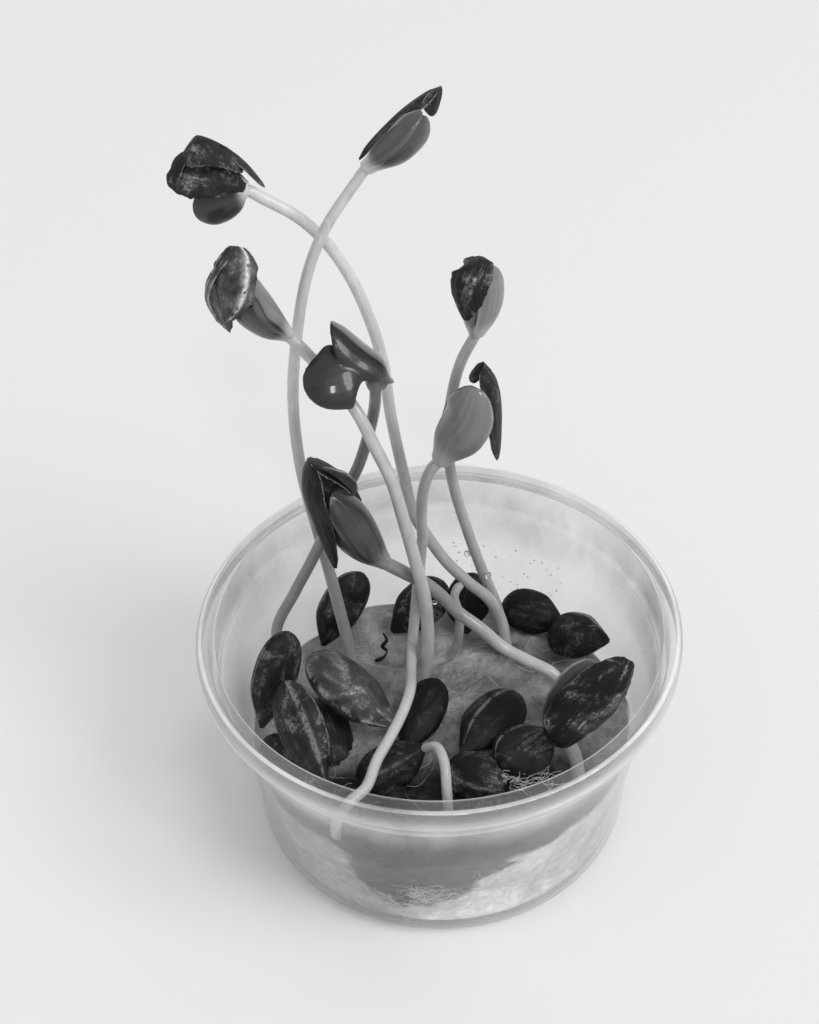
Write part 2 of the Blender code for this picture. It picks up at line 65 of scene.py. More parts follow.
# Cup and cotton
RIM_HEIGHT = 40.0
RIM_RADIUS = 37.5
BAND_RADIUS = 34.5
BEAD_DROP = 3.7
STEP_HEIGHT = 32.0
CORNER_RADIUS = 3.0
WALL = 0.7
WALL_LINE = ((3.0, 30.1), (11.0, 30.7), (19.0, 31.8), (25.5, 33.2), (STEP_HEIGHT, 34.6))
STEP_RADIUS = WALL_LINE[-1][1]
RIM_ROUND = 1.1
COTTON_MIDDLE = 17.0
COTTON_SLOPE = 0.08
COTTON_BUMP = 0.9
PAD_RADIUS = 29

# Leaves, coats and drops
LEAF_THICKNESS = 1.2
COAT_THICKNESS = 0.5
SPRAY_DROPS = 46

# How finely each piece is cut: points round it, rings along it, or millimetres from point to point.
CUP_SEGMENTS = 180
COTTON_SEGMENTS = 260
COTTON_SIDE_ROWS = 40
COTTON_TOP_RINGS = 64
FIBRE_SIDES = 4
FIBRE_STEP = 0.4
STEM_SIDES = 20
STEM_STEP = 0.6
LEAF_SIDES = 24
LEAF_STATIONS = 40
COAT_SIDES = 36
SEED_SIDES = 48
SHELL_STATIONS = 44
BLADE_STEP = 0.3
REMESH_SIZE = 0.19

# How far along a blade and how wide it is there, as a share of its half width.
LEAF_OUTLINE = (
    (0, 0.36), (0.1, 0.46), (0.24, 0.75), (0.4, 0.94), (0.56, 1), (0.73, 0.95), (0.87, 0.74),
    (0.96, 0.46), (1, 0.2))
COAT_OUTLINE = (
    (0, 0.3), (0.06, 0.6), (0.18, 0.87), (0.38, 1), (0.58, 0.93), (0.78, 0.68), (0.93, 0.36), (1, 0.15))
SEED_OUTLINE = (
    (0, 0.14), (0.07, 0.38), (0.2, 0.7), (0.38, 0.94), (0.56, 1), (0.74, 0.94), (0.88, 0.74),
    (0.96, 0.46), (1, 0.18))

# A stem is its radius at the root and at the top, and the points that it passes through.
STEMS = {
    "sprout_1": (1.05, 0.82, [
        (-14.6, 12.5, 14.5), (-14.7, 13.5, 19.4), (-16.3, 16, 29.6), (-18.2, 18.5, 40.1),
        (-20.6, 21.5, 53.5), (-21, 23.5, 66), (-19.5, 24.5, 78.2), (-17.3, 25, 88.3),
        (-14.2, 25, 96.1), (-8, 25.5, 105.5)]),
    "sprout_2": (1, 0.92, [
        (12, 14.5, 13.9), (11.6, 14.9, 18.5), (10.8, 16.6, 22.8), (8.7, 17.2, 27.2), (5.4, 17.9, 30.5),
        (1.9, 19.2, 34.2), (-1.1, 20.9, 38.6), (-3.1, 22.2, 42.4), (-4.6, 24.5, 49.9),
        (-6.1, 26.1, 60), (-6.9, 27.1, 69.3), (-8.2, 27.7, 75.9), (-10.9, 28.3, 84.4),
        (-14.3, 28.5, 91.1), (-18.4, 28.5, 96), (-23.2, 28.5, 99.4), (-25.2, 28.5, 100.9)]),
    "sprout_3": (1.1, 0.95, [
        (-4.1, 5.5, 13.7), (-2.8, 6, 20.8), (-1.7, 6.2, 27.1), (-1.6, 6.7, 32.4), (-1.9, 6.9, 38.3),
        (-3.2, 7.7, 45.8), (-4.7, 8.7, 53.4), (-6.3, 9.8, 60.8), (-8.7, 11.2, 66.8), (-10.6, 13, 70.8),
        (-13, 15.5, 73.7), (-16.8, 19, 76.5), (-19.2, 20.2, 79), (-20.7, 21, 80.4)]),
    "sprout_4": (0.95, 0.92, [
        (-25.8, 12.9, 16.5), (-26.5, 13.8, 25.1), (-23, 14.2, 33.2), (-19.9, 14, 40.1),
        (-16.8, 14, 47.3), (-13.3, 15.2, 54.6), (-11.2, 15.8, 59.1), (-9.2, 16, 66),
        (-8.3, 15.2, 71.1), (-8, 13.9, 75.7)]),
    "sprout_5": (0.95, 0.88, [
        (12.4, 18.8, 10), (11.9, 19, 14.8), (10.1, 20.5, 23.1), (8.1, 21, 29.5), (5.6, 22, 38.3),
        (3.3, 22.9, 48.7), (2.7, 23.6, 57.6), (3.5, 24.1, 65.2), (5, 24.5, 71.4), (7.3, 25, 76.1)]),
    "sprout_6": (1, 1.1, [
        (21.5, 0.5, 17), (18.5, 2.5, 23.9), (14.6, 4.5, 25.2), (10.9, 6.5, 26.2), (6.9, 8, 29.7),
        (3.4, 9.3, 32.3), (0.4, 10.1, 35.9), (-2, 10.2, 38.5), (-4.8, 8.8, 42.1), (-7.9, 7.2, 46.1)]),
    "sprout_7": (0.88, 0.92, [
        (-17.8, -22.9, 11.2), (-17, -23.4, 16.5), (-16.6, -24, 22.1), (-14.5, -22.9, 25.5),
        (-12, -20.4, 25.7), (-10.2, -15.5, 26.2), (-7.9, -11.1, 26.8), (-6, -6.8, 27.2),
        (-4.8, -2.9, 27.5), (-4.5, 3.2, 25.9), (-4.2, 8.6, 25.8), (-3.6, 11.2, 29.4), (-3, 12.6, 34.4),
        (-2.4, 13.8, 39.5), (-1.9, 14.2, 44.8), (-1.9, 14.3, 49.9), (-1.3, 14, 55.6), (0, 14, 59.3),
        (1.1, 14, 60.5)]),
    "sprout_8": (1.1, 1.2, [
        (20.7, -15.5, 13.5), (21, -14.5, 18), (20.5, -12.5, 21.5), (19, -10.8, 24.2)]),
    "young_root_1": (0.85, 0.8, [
        (0.3, -22, 16), (0.3, -22, 21.5), (0.2, -20.5, 26), (0, -18, 28), (-1, -14.8, 27.8),
        (-3, -13, 25.5)]),
    "young_root_2": (0.78, 0.75, [
        (-2.8, 9.5, 15.4), (-0.6, 10.5, 19.1), (1.5, 11, 19.6), (3, 11.3, 22), (3.7, 12, 25.3),
        (3.6, 13, 28.7), (3, 14, 31), (3.6, 15, 32.1), (4.3, 15.6, 32.1)]),
}

# A leaf is its half width, its bend across in degrees, how narrow its neck is (1 is plain), the
# side that its back faces, and the points along the middle of its back.
LEAVES = {
    "sprout_1": [
        (2.6, 42, 1, (-0.54, -0.05, 0.84), [
            (-6.2, 24.7, 108.5), (-4.1, 24.6, 111), (-2, 25, 113), (-0, 26, 113.9)]),
        (3.2, 42, 1, (0.54, -0.84, 0.06), [
            (-5.7, 24.8, 107.1), (-2.8, 24.6, 108.9), (-0.7, 25, 111), (0.4, 26.2, 113.1)])],
    "sprout_2": [
        (3.4, 40, 1.8, (-0.14, -0.99, -0.04), [
            (-27, 27, 100.1), (-30.3, 26, 99.4), (-32.8, 26, 98.7)]),
        (3.2, 40, 1, (0.03, 0.98, 0.2), [
            (-27.4, 28.6, 102), (-31.3, 28, 102.5)])],
    "sprout_3": [
        (3.9, 45, 1, (0.69, 0.19, 0.7), [
            (-22, 21.2, 84.1), (-24.1, 22.2, 87.7), (-25.7, 22.5, 90.6)]),
        (3.6, 45, 1, (-0.23, -0.89, -0.38), [
            (-22.9, 19.8, 81.7), (-25.6, 19.8, 83.8), (-26.9, 20.3, 86.6)])],
    "sprout_4": [
        (4.9, 22, 16, (0.11, -0.58, 0.81), [
            (-9, 12.6, 79.1), (-11.5, 10.8, 80.9), (-14.8, 9.6, 80.8), (-18.3, 9.8, 79.9)]),
        (3.9, 66, 1, (0.39, 0.14, 0.91), [
            (-6.9, 14, 79), (-10, 14.8, 82.3), (-14, 15.8, 86.1)])],
    "sprout_5": [
        (3.5, 40, 1, (0.59, -0.67, 0.45), [
            (8.5, 24.6, 78.6), (9.5, 24.6, 82.2), (9.5, 24.8, 85.5), (8.7, 25, 87.7)]),
        (3, 45, 1, (-0.95, -0.2, 0.23), [
            (6.1, 25, 79.2), (6, 25.2, 82.3), (6.6, 25.2, 85.4), (7.6, 25, 87.5)])],
    "sprout_6": [
        (4.1, 46, 1, (0.77, -0.29, 0.57), [
            (-9.1, 6, 51.7), (-11.1, 5.8, 56.6), (-13.6, 5.8, 59.7), (-15.3, 6, 62.1)]),
        (4.1, 42, 1, (-0.73, -0.66, 0.17), [
            (-11.5, 6, 48.9), (-14.2, 5.8, 52.6), (-15.2, 6, 57.9), (-15.5, 6.2, 61.9)])],
    "sprout_7": [
        (4.2, 42, 1, (-0.25, -0.63, 0.73), [
            (2.4, 13, 64.8), (4.8, 12, 70.2), (5.9, 12.6, 73.3), (6.4, 13.6, 75.1)]),
        (3.5, 42, 1, (0.2, 0.69, -0.66), [
            (3.2, 17.2, 61.6), (5.2, 18, 65), (6.3, 17.6, 69.6), (6.6, 16.8, 72.5)])],
    "sprout_8": [
        (4.3, 35, 1, (-0.44, 0.81, -0.38), [
            (17.8, -8.5, 26.1), (20.3, -6.5, 31.2), (23.7, -5, 35.3)]),
        (3.9, 35, 1, (0.35, -0.82, 0.46), [
            (20.1, -10.5, 27.4), (24, -9, 32.9), (27.4, -7.5, 36.7)])],
}

# The split coats on the leaf tips, each half as a leaf's numbers without a neck, from its blunt
# end to its pointed end.
COATS = {
    "seed_coat_1": [
        (3.2, 40, (-0.7, 0.34, 0.63), [
            (2.5, 30.4, 114.7), (0.4, 31.2, 113.1), (-2.5, 31, 111.1), (-5.2, 30.4, 108.8),
            (-7.6, 29.4, 106.6), (-8.9, 28.2, 105.3)]),
        (2.4, 40, (0.85, -0.53, 0.03), [
            (2.5, 30.3, 114.7), (2.2, 30.2, 112.7), (1.7, 30, 110.7)])],
    "seed_coat_2": [
        (3.5, 40, (-0.18, -0.14, 0.97), [
            (-33.4, 25.3, 108.4), (-30.7, 25.6, 110.3), (-27.7, 26.8, 108.6), (-25.5, 28, 104.4)]),
        (2.7, 35, (-0.11, -0.85, 0.51), [
            (-35.8, 24.5, 105.4), (-32.4, 23.5, 106.2), (-28.4, 24.3, 105.1), (-25.2, 26.3, 102.5)]),
        (1.6, 30, (-0.8, -0.3, 0.5), [
            (-35.1, 24.4, 105.1), (-34.3, 25, 107.5), (-32.5, 25.5, 109.2)]),
        (1.6, 30, (0.78, 0.34, 0.53), [
            (-27.8, 26.8, 109.1), (-25.2, 28.8, 104.9), (-22.9, 31, 99.7)])],
    "seed_coat_3": [
        (3.5, 42, (-0.35, -0.74, 0.57), [
            (-26.7, 20, 97), (-27.9, 16.5, 93.1), (-29.2, 16.9, 86.5)]),
        (3.3, 42, (-0.95, 0.26, -0.19), [
            (-27.1, 21, 96.2), (-31.4, 20.5, 90), (-29, 20.5, 82)])],
    "seed_coat_5": [
        (3.3, 46, (-0.5, -0.55, 0.67), [
            (7.7, 26.3, 89.3), (6.2, 22.8, 89.3), (5.3, 21.3, 86.5), (5.5, 21.1, 81.7)]),
        (2.4, 40, (0.22, 0.89, -0.41), [
            (7.7, 26.5, 89), (8.5, 30.4, 85.4), (9.1, 32.3, 81.7), (9.1, 32.4, 78.8)])],
    "seed_coat_6": [
        (3.8, 46, (-0.92, -0.4, 0.01), [
            (-18.1, 7.4, 66.7), (-19.1, 7.6, 61.3), (-17.9, 7, 54.6), (-15.8, 6.4, 46.4)]),
        (2.4, 18, (0.63, 0.21, 0.75), [
            (-17.9, 7.8, 66.4), (-15.2, 11, 62.1), (-12.7, 11.7, 58.5), (-11.1, 11.4, 55.6)])],
    "seed_coat_7": [
        (3.6, 40, (0.98, -0.18, -0.03), [
            (7.9, 17, 75.9), (9.8, 17.2, 71.8), (10.5, 17.6, 66), (10.4, 18.6, 56.9)]),
        (1.8, 40, (-0.92, 0.18, 0.36), [
            (7.9, 17, 75.8), (6.9, 17.6, 75), (6, 18.4, 73)])],
    "seed_coat_8": [
        (5, 42, (0.35, -0.82, 0.46), [
            (18.3, -13.6, 25), (20.3, -13.4, 29.4), (24.2, -12.2, 35.3), (28.3, -9.8, 40.3)])],
}

# A whole seed is its half width, its thickness, the way its flat side faces, its pointed end and
# its blunt end.
SEEDS = [
    (4.1, 4.8, (0.5, -0.6, 0.3), (-28.8, -3.3, 20.5), (-23.9, 4.8, 34)),
    (4.2, 4.8, (-0.5, -0.5, 0.6), (-18.3, -16.4, 22), (-24.4, -3.1, 31)),
    (4.3, 4.9, (0.2, -0.4, 0.9), (-7.3, -4.6, 21), (-20.7, 5, 28.2)),
    (4, 4.6, (0.3, -0.9, 0.2), (-19.4, 18.4, 16), (-12.2, 24, 27.5)),
    (4, 4.6, (0, -0.8, 0.5), (-7.6, 20, 17), (2, 26.2, 22)),
    (3.6, 4.4, (-0.2, -0.6, 0.7), (-6, -8.6, 19.5), (-0.2, 3.9, 22.3)),
    (3.8, 4.6, (0, -0.5, 0.85), (-2.7, -9.6, 22), (-13.4, -14.4, 19.5)),
    (4.3, 4.8, (0, -0.3, 0.95), (2.9, -11.6, 22.5), (12.6, 0.7, 21.5)),
    (4.4, 4.4, (0, -0.3, 0.95), (17.6, -7.9, 22.6), (8.3, -15.1, 23.6)),
    (3.8, 4.6, (0, -0.9, 0.4), (5.2, 20.9, 15), (6.8, 24.3, 26)),
    (3.8, 4.6, (0, -0.6, 0.8), (21.7, 19.2, 18.4), (11.8, 24.3, 19)),
    (4.1, 4.6, (0.1, -0.5, 0.85), (28.4, 11.1, 22.2), (19.1, 16.7, 19.5)),
    (3.8, 4.4, (-0.5, -0.5, 0.7), (-21.3, -15.6, 18.2), (-28.2, -5.6, 20.4)),
    (4, 4.6, (0.5, -0.5, 0.7), (-16.3, -10.9, 15.5), (-19.8, 1.7, 21.5)),
    (3.9, 4.6, (0, -0.6, 0.8), (9, -19.1, 22.4), (0.6, -14, 22.4)),
    (3.9, 4.6, (0.3, -0.6, 0.7), (20, -17.3, 16.5), (12.6, -22.3, 20.5)),
    (4, 4.6, (-0.3, -0.95, 0.1), (-10.2, -26.2, 15), (-9, -25.2, 28)),
    (4, 4.6, (0, -0.99, 0.1), (-1.6, -27.8, 14.5), (-0.6, -27.4, 25.5)),
    (4, 4.6, (0.2, -0.95, 0.1), (7.6, -26.8, 16), (7.4, -25.2, 29)),
]

# How grey each stem is at its root and at its top: the stems' pale colour with painted shade, darker low in
# the cup and where other sprouts shade a stem.
STEM_TONES_AND_SHADE = {
    "sprout_1": (0.30, 0.58), "sprout_2": (0.34, 0.60), "sprout_3": (0.42, 0.46), "sprout_4": (0.25, 0.17),
    "sprout_5": (0.34, 0.38), "sprout_6": (0.46, 0.22), "sprout_7": (0.50, 0.38), "sprout_8": (0.36, 0.30),
    "young_root_1": (0.46, 0.44), "young_root_2": (0.33, 0.31),
}
# How grey each leaf is on the left, the middle and the right of its back, and inside.
LEAF_TONES = {
    "sprout_1": [(0.075, 0.060, 0.085, 0.05), (0.085, 0.065, 0.065, 0.05)],
    "sprout_2": [(0.030, 0.026, 0.032, 0.02), (0.03, 0.03, 0.03, 0.03)],
    "sprout_3": [(0.16, 0.12, 0.19, 0.05), (0.06, 0.08, 0.05, 0.04)],
    # sprout_4's second leaf: its near-black right side is painted shade in the hollow between it and the
    # round leaf.
    "sprout_4": [(0.020, 0.022, 0.016, 0.015), (0.22, 0.17, 0.006, 0.010)],
    "sprout_5": [(0.18, 0.20, 0.18, 0.10), (0.17, 0.18, 0.17, 0.10)],
    "sprout_6": [(0.032, 0.024, 0.032, 0.02), (0.045, 0.050, 0.035, 0.03)],
    "sprout_7": [(0.18, 0.20, 0.17, 0.10), (0.13, 0.14, 0.12, 0.08)],
    "sprout_8": [(0.14, 0.15, 0.14, 0.12), (0.13, 0.13, 0.13, 0.12)],
}
# How grey each seed is, and how much of it is scuffed to a paler grey.
SEED_TONES = [
    (0.010, 0.50), (0.014, 0.75), (0.055, 0.95), (0.008, 0.45), (0.008, 0.60), (0.003, 0.10), (0.006, 0.40),
    (0.004, 0.25), (0.008, 0.45), (0.006, 0.30), (0.004, 0.25), (0.005, 0.45), (0.012, 0.60), (0.008, 0.30),
    (0.008, 0.60), (0.02, 0.60), (0.006, 0.30), (0.006, 0.30), (0.006, 0.30)]
COAT_TONES = {
    "seed_coat_1": (0.008, 0.35), "seed_coat_2": (0.014, 0.70), "seed_coat_3": (0.05, 0.50),
    "seed_coat_5": (0.012, 0.95), "seed_coat_6": (0.003, 0.08), "seed_coat_7": (0.006, 0.35),
    "seed_coat_8": (0.009, 0.95)}
# Pale stripes along a shell: the place across it, from -1 to 1, the half width on the same scale,
# and how strong the stripe is.
STRIPES = {
    "seed_coat_2": ((0.72, 0.05, 0.6),),
    "seed_coat_3": ((-0.30, 0.05, 1.2), (0.62, 0.16, 1.7), (-0.95, 0.30, 1.7)),
    "seed_coat_5": ((0.15, 0.03, 0.5),),
    "seed_01": ((0.3, 0.02, 0.35),),
    "seed_02": ((-0.55, 0.13, 0.45), (0.4, 0.015, 0.35)),
    "seed_03": ((0.86, 0.10, 0.9), (-0.45, 0.02, 0.5)),
    "seed_07": ((0.1, 0.05, 0.45),),
    "seed_08": ((0.5, 0.02, 0.4),),
    "seed_09": ((-0.8, 0.05, 0.6), (0.2, 0.02, 0.4)),
    "seed_12": ((-0.9, 0.06, 0.7),),
    "seed_15": ((0.4, 0.03, 0.5),),
}
# Shells with two blunt ends.
ROUND_COATS = ("seed_coat_8",)
# The insides of shells that gape: one more blade behind the leaf, with a coat's numbers.
LININGS = {
    "seed_coat_6": [
        (3.3, 30, (0.1, 0.85, 0.1), [(-16.8, 8.4, 65.2), (-14.6, 10.2, 60.6), (-12.9, 11, 56.4)])],
}
# How solid and how grey the plastic looks at each place of the cup. The pale lines on the rim, the band's
# edge, the bead's foot and the step are painted highlights.
CUP_LOOKS = {
    "painted highlight on the rim": (0.42, 0.95), "painted highlight on the band's edge": (0.38, 0.85), "painted highlight at the bead's foot": (0.35, 0.80),
    "bead": (0.15, 0.36), "painted highlight on the step": (0.34, 0.80), "step": (0.20, 0.26), "band": (0.07, 0.45),
    "underside": (0.18, 0.5), "wall": (0.06, 0.55),
}
# Where the dark mass behind the front wall ends below: millimetres round the wall and the height.
DARK_EDGE = (
    (-17, 14.5), (-13, 9.5), (-10, 7.4), (-5.6, 6), (-1.4, 6.8), (1.4, 9.2), (5.6, 14.6), (9, 17),
    (12, 19))
# Tufts of fibre that stand above the pad: the place, the height over it and the number of fibres.
FUZZ = (
    (10.1, -17.0, 3.6, 60), (14.5, -18.0, 2.5, 34), (-20.9, -14.7, 2.0, 12), (-25.1, -3.8, 5.5, 12),
    (-18.3, 0.3, 3.4, 5))
# A drop's place on its stem, the way that it bulges and its radius.
DROPS = (
    ((5.4, 20.0, 34.9), (-0.9, -0.5, 0.1), 0.6), ((8.9, 19.4, 30.2), (0.7, -0.7, -0.2), 0.65),
    ((-0.4, 8.2, 35.8), (-0.3, -0.4, -0.9), 0.5), ((3.6, 8.0, 32.4), (0, -0.4, -0.9), 0.5),
    ((10.9, 5.6, 25.6), (0, -0.4, -0.9), 0.6))
# The dried root tip's line.
DRIED_ROOT = (
    (-9, 15.1, 22), (-8.4, 14.4, 21), (-9.2, 14.3, 19.6), (-8.5, 14.5, 18.2), (-9.0, 14.1, 17.2),
    (-10.4, 14.2, 16.3))


# Lines and lofts

def smooth_line(points, step):
    """Points about step apart on a centripetal Catmull-Rom curve through the given points."""
    points = [Vector(point) for point in points]
    ends = [points[0] * 2 - points[1]] + points + [points[-1] * 2 - points[-2]]
    line = []
    for p0, p1, p2, p3 in zip(ends, ends[1:], ends[2:], ends[3:]):
        t1 = sqrt((p1 - p0).length)
        t2 = t1 + sqrt((p2 - p1).length)
        t3 = t2 + sqrt((p3 - p2).length)
        count = max(1, round((p2 - p1).length / step))
        for k in range(count):
            t = t1 + (t2 - t1) * k / count
            a1 = p0.lerp(p1, t / t1)
            a2 = p1.lerp(p2, (t - t1) / (t2 - t1))
            a3 = p2.lerp(p3, (t - t2) / (t3 - t2))
            b1 = a1.lerp(a2, t / t2)
            b2 = a2.lerp(a3, (t - t1) / (t3 - t1))
            line.append(b1.lerp(b2, (t - t1) / (t2 - t1)))
    return line + [points[-1]]


def crowded(count):
    """Fractions of a length, closer together at both ends."""
    return [0.5 - 0.5 * cos(pi * k / count) for k in range(count + 1)]


def stations(line, fractions):
    """The points at these fractions of the line's length."""
    travelled = [0.0]
    for a, b in zip(line, line[1:]):
        travelled.append(travelled[-1] + (b - a).length)
    found = []
    k = 1
    for fraction in fractions:
        goal = fraction * travelled[-1]
        while k < len(line) - 1 and travelled[k] < goal - 1e-6:
            k += 1
        share = (goal - travelled[k - 1]) / (travelled[k] - travelled[k - 1])
        found.append(line[k - 1].lerp(line[k], min(1.0, share)))
    return found


def tangents(line):
    """The line's direction at each of its points."""
    ends = [line[0] * 2 - line[1]] + line + [line[-1] * 2 - line[-2]]
    return [(after - before).normalized() for before, after in zip(ends, ends[2:])]


def eased(table, t):
    """A smooth value at t, from a table of (t, value)."""
    k = max(i for i in range(len(table) - 1) if table[i][0] <= t or i == 0)
    (t0, v0), (t1, v1) = table[k], table[k + 1]
    before = table[k - 1] if k else (t0 - (t1 - t0), v0 - (v1 - v0))
    after = table[k + 2] if k + 2 < len(table) else (t1 + (t1 - t0), v1 + (v1 - v0))
    m0 = (v1 - before[1]) / (t1 - before[0]) * (t1 - t0)
    m1 = (after[1] - v0) / (after[0] - t0) * (t1 - t0)
    s = (t - t0) / (t1 - t0)
    return ((2 * s ** 3 - 3 * s * s + 1) * v0 + (s ** 3 - 2 * s * s + s) * m0
            + (3 * s * s - 2 * s ** 3) * v1 + (s ** 3 - s * s) * m1)


def soft(value, low, high):
    """0 below low, 1 above high, and a smooth rise between them."""
    t = min(1.0, max(0.0, (value - low) / (high - low)))
    return t * t * (3 - 2 * t)


def ring_faces(start, rings, sides, capped=False):
    """Quads between rings of points that follow each other, and a face on each end."""
    faces = []
    for low in range(start, start + (rings - 1) * sides, sides):
        for k in range(sides):
            after = (k + 1) % sides
            faces.append((low + k, low + after, low + sides + after, low + sides + k))
    if capped:
        last = start + (rings - 1) * sides
        faces.append(tuple(range(start + sides - 1, start - 1, -1)))
        faces.append(tuple(range(last, last + sides)))
    return faces


def section(half_width, thickness, bend, sides, square):
    """A closed outline with its back at the origin: an oval, bent round an arc if bend isn't 0."""
    outline = []
    for i in range(sides):
        u, v = cos(2 * pi * i / sides), sin(2 * pi * i / sides)
        lift = thickness / 2 * copysign(abs(v) ** square, v)
        if abs(bend) < 1e-4:
            outline.append((half_width * u, lift))
        else:
            radius = half_width / sin(bend)
            outline.append(((radius + lift) * sin(bend * u), (radius + lift) * cos(bend * u) - radius))
    return outline


class Loft:
    """Vertices and faces, and for each vertex how far across and along it is, how far on the outer
    side, and its place across from -1 to 1.
    """

    def __init__(self):
        self.verts, self.faces = [], []
        self.across, self.along, self.outer, self.place = [], [], [], []

    def add(self, line, back, widths, thicknesses, bends, sides, square, shift=None):
        """A blade along the line, with its back towards back. shift moves single points."""
        start = len(self.verts)
        back = Vector(back)
        length = 0.0
        for j, (point, tangent) in enumerate(zip(line, tangents(line))):
            if j:
                length += (point - line[j - 1]).length
            up = (back - tangent * back.dot(tangent)).normalized()
            side = up.cross(tangent)
            for i, (x, y) in enumerate(section(widths[j], thicknesses[j], bends[j], sides, square)):
                dx, dy = shift(j, i, x, y) if shift else (0, 0)
                self.verts.append(point + side * (x + dx) + up * (y + dy))
                self.across.append(widths[j] * cos(2 * pi * i / sides))
                self.along.append(length)
                self.outer.append(sin(2 * pi * i / sides))
                self.place.append(cos(2 * pi * i / sides))
        self.faces += ring_faces(start, len(line), sides, capped=True)

    def add_tube(self, line, radii, sides):
        """A round stem along the line."""
        start = len(self.verts)
        along = tangents(line)
        side = along[0].orthogonal().normalized()
        length = 0.0
        for j, (point, tangent, radius) in enumerate(zip(line, along, radii)):
            if j:
                length += (point - line[j - 1]).length
            side = (side - tangent * side.dot(tangent)).normalized()
            up = tangent.cross(side)
            for i in range(sides):
                a = 2 * pi * i / sides
                self.verts.append(point + side * (radius * cos(a)) + up * (radius * sin(a)))
                self.across.append(a)
                self.along.append(length)
                self.outer.append(1.0)
                self.place.append(0.0)
        self.faces += ring_faces(start, len(line), sides, capped=True)


def put(name, data):
    """A new object in the scene."""
    obj = bpy.data.objects.new(name, data)
    bpy.context.scene.collection.objects.link(obj)
    return obj


def make_object(name, verts, faces, surface, node_names, uv=None, attributes=None):
    """A smooth piece of the scene that takes the place of the frame's nodes."""
    mesh = bpy.data.meshes.new(name)
    mesh.from_pydata([Vector(vert) * MM for vert in verts], [], faces)
    mesh.materials.append(surface)
    if uv is not None:
        layer = mesh.uv_layers.new(name="loft")
        corners = np.empty(len(mesh.loops), np.int32)
        mesh.loops.foreach_get("vertex_index", corners)
        layer.data.foreach_set("uv", np.asarray(uv, np.float32)[corners].ravel())
    for key, values in (attributes or {}).items():
        mesh.attributes.new(key, "FLOAT", "POINT").data.foreach_set("value", np.asarray(values, np.float32))
    mesh.shade_smooth()
    mesh.update()
    obj = put(name, mesh)
    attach(obj, "root")
    if node_names:
        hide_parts(*node_names)
    return obj


def outward(obj):
    """Turns every face of a closed mesh outwards."""
    work = bmesh.new()
    work.from_mesh(obj.data)
    bmesh.ops.recalc_face_normals(work, faces=work.faces)
    work.to_mesh(obj.data)
    work.free()


# Materials

def set_inputs(node, values):
    """Sets a node's own inputs, which are named with underscores for spaces."""
    for key, value in values.items():
        node.inputs[key.replace("_", " ")].default_value = value


class Nodes:
    """A material under construction: its nodes, and the sockets of its shader."""

    def __init__(self, name):
        self.material = bpy.data.materials.new(name)
        self.material.use_nodes = True
        self.tree = self.material.node_tree
        self.shader = self.tree.nodes["Principled BSDF"]

    def link(self, start, end):
        self.tree.links.new(start, end)

    def settings(self, **values):
        set_inputs(self.shader, values)

    def node(self, kind, **values):
        node = self.tree.nodes.new(kind)
        set_inputs(node, values)
        return node

    def maths(self, operation, a, b, clamp=False):
        node = self.node("ShaderNodeMath")
        node.operation = operation
        node.use_clamp = clamp
        for socket, value in zip(node.inputs, (a, b)):
            if isinstance(value, (int, float)):
                socket.default_value = value
            else:
                self.link(value, socket)
        return node.outputs[0]

    def product(self, a, b):
        return self.maths("MULTIPLY", a, b)

    def sum(self, a, b, clamp=False):
        return self.maths("ADD", a, b, clamp)

    def larger(self, a, b):
        return self.maths("MAXIMUM", a, b)

    def attribute(self, name):
        node = self.node("ShaderNodeAttribute")
        node.attribute_name = name
        return node.outputs["Fac"]

    def coords(self, kind="Object", scale=(1, 1, 1)):
        place = self.node("ShaderNodeTexCoord")
        sized = self.node("ShaderNodeMapping", Scale=scale)
        self.link(place.outputs[kind], sized.inputs["Vector"])
        return sized.outputs["Vector"]

    def noise(self, vector, scale, detail=2.0, roughness=0.5, distortion=0.0):
        node = self.node("ShaderNodeTexNoise", Scale=scale, Detail=detail, Roughness=roughness,
                         Distortion=distortion)
        self.link(vector, node.inputs["Vector"])
        return node.outputs["Fac"]

    def facing(self, power):
        """How far the surface is turned from the eye, which makes clear plastic look more solid."""
        node = self.node("ShaderNodeLayerWeight", Blend=0.5)
        return self.maths("POWER", node.outputs["Facing"], power)

    def between(self, value, low, high, to_low=0.0, to_high=1.0):
        node = self.node("ShaderNodeMapRange", From_Min=low, From_Max=high, To_Min=to_low,
                         To_Max=to_high)
        self.link(value, node.inputs["Value"])
        return node.outputs["Result"]

    def bump(self, height, strength, distance):
        node = self.node("ShaderNodeBump", Strength=strength, Distance=distance)
        self.link(height, node.inputs["Height"])
        self.link(node.outputs["Normal"], self.shader.inputs["Normal"])


def flesh_material():
    """Soft moist stems and leaves, with faint streaks along them."""
    n = Nodes("sprout_flesh")
    spots = n.noise(n.coords(), 300, 3)
    streaks = n.noise(n.coords("UV", (1, 0.06, 1)), 3.2, 3, 0.6)
    grain = n.noise(n.coords(), 2600, 2)
    shade = n.product(n.attribute("tone"), n.between(spots, 0.3, 0.7, 0.92, 1.08))
    shade = n.product(shade, n.between(streaks, 0.3, 0.7, 0.9, 1.1))
    n.link(shade, n.shader.inputs["Base Color"])
    n.settings(Roughness=0.34, Specular_IOR_Level=0.34, Coat_Weight=0.45, Coat_Roughness=0.09)
    n.settings(Subsurface_Weight=0.3, Subsurface_Radius=(1, 1, 1), Subsurface_Scale=0.0008)
    n.bump(n.sum(streaks, n.product(grain, 0.4)), 0.25, 0.00012)
    return n.material


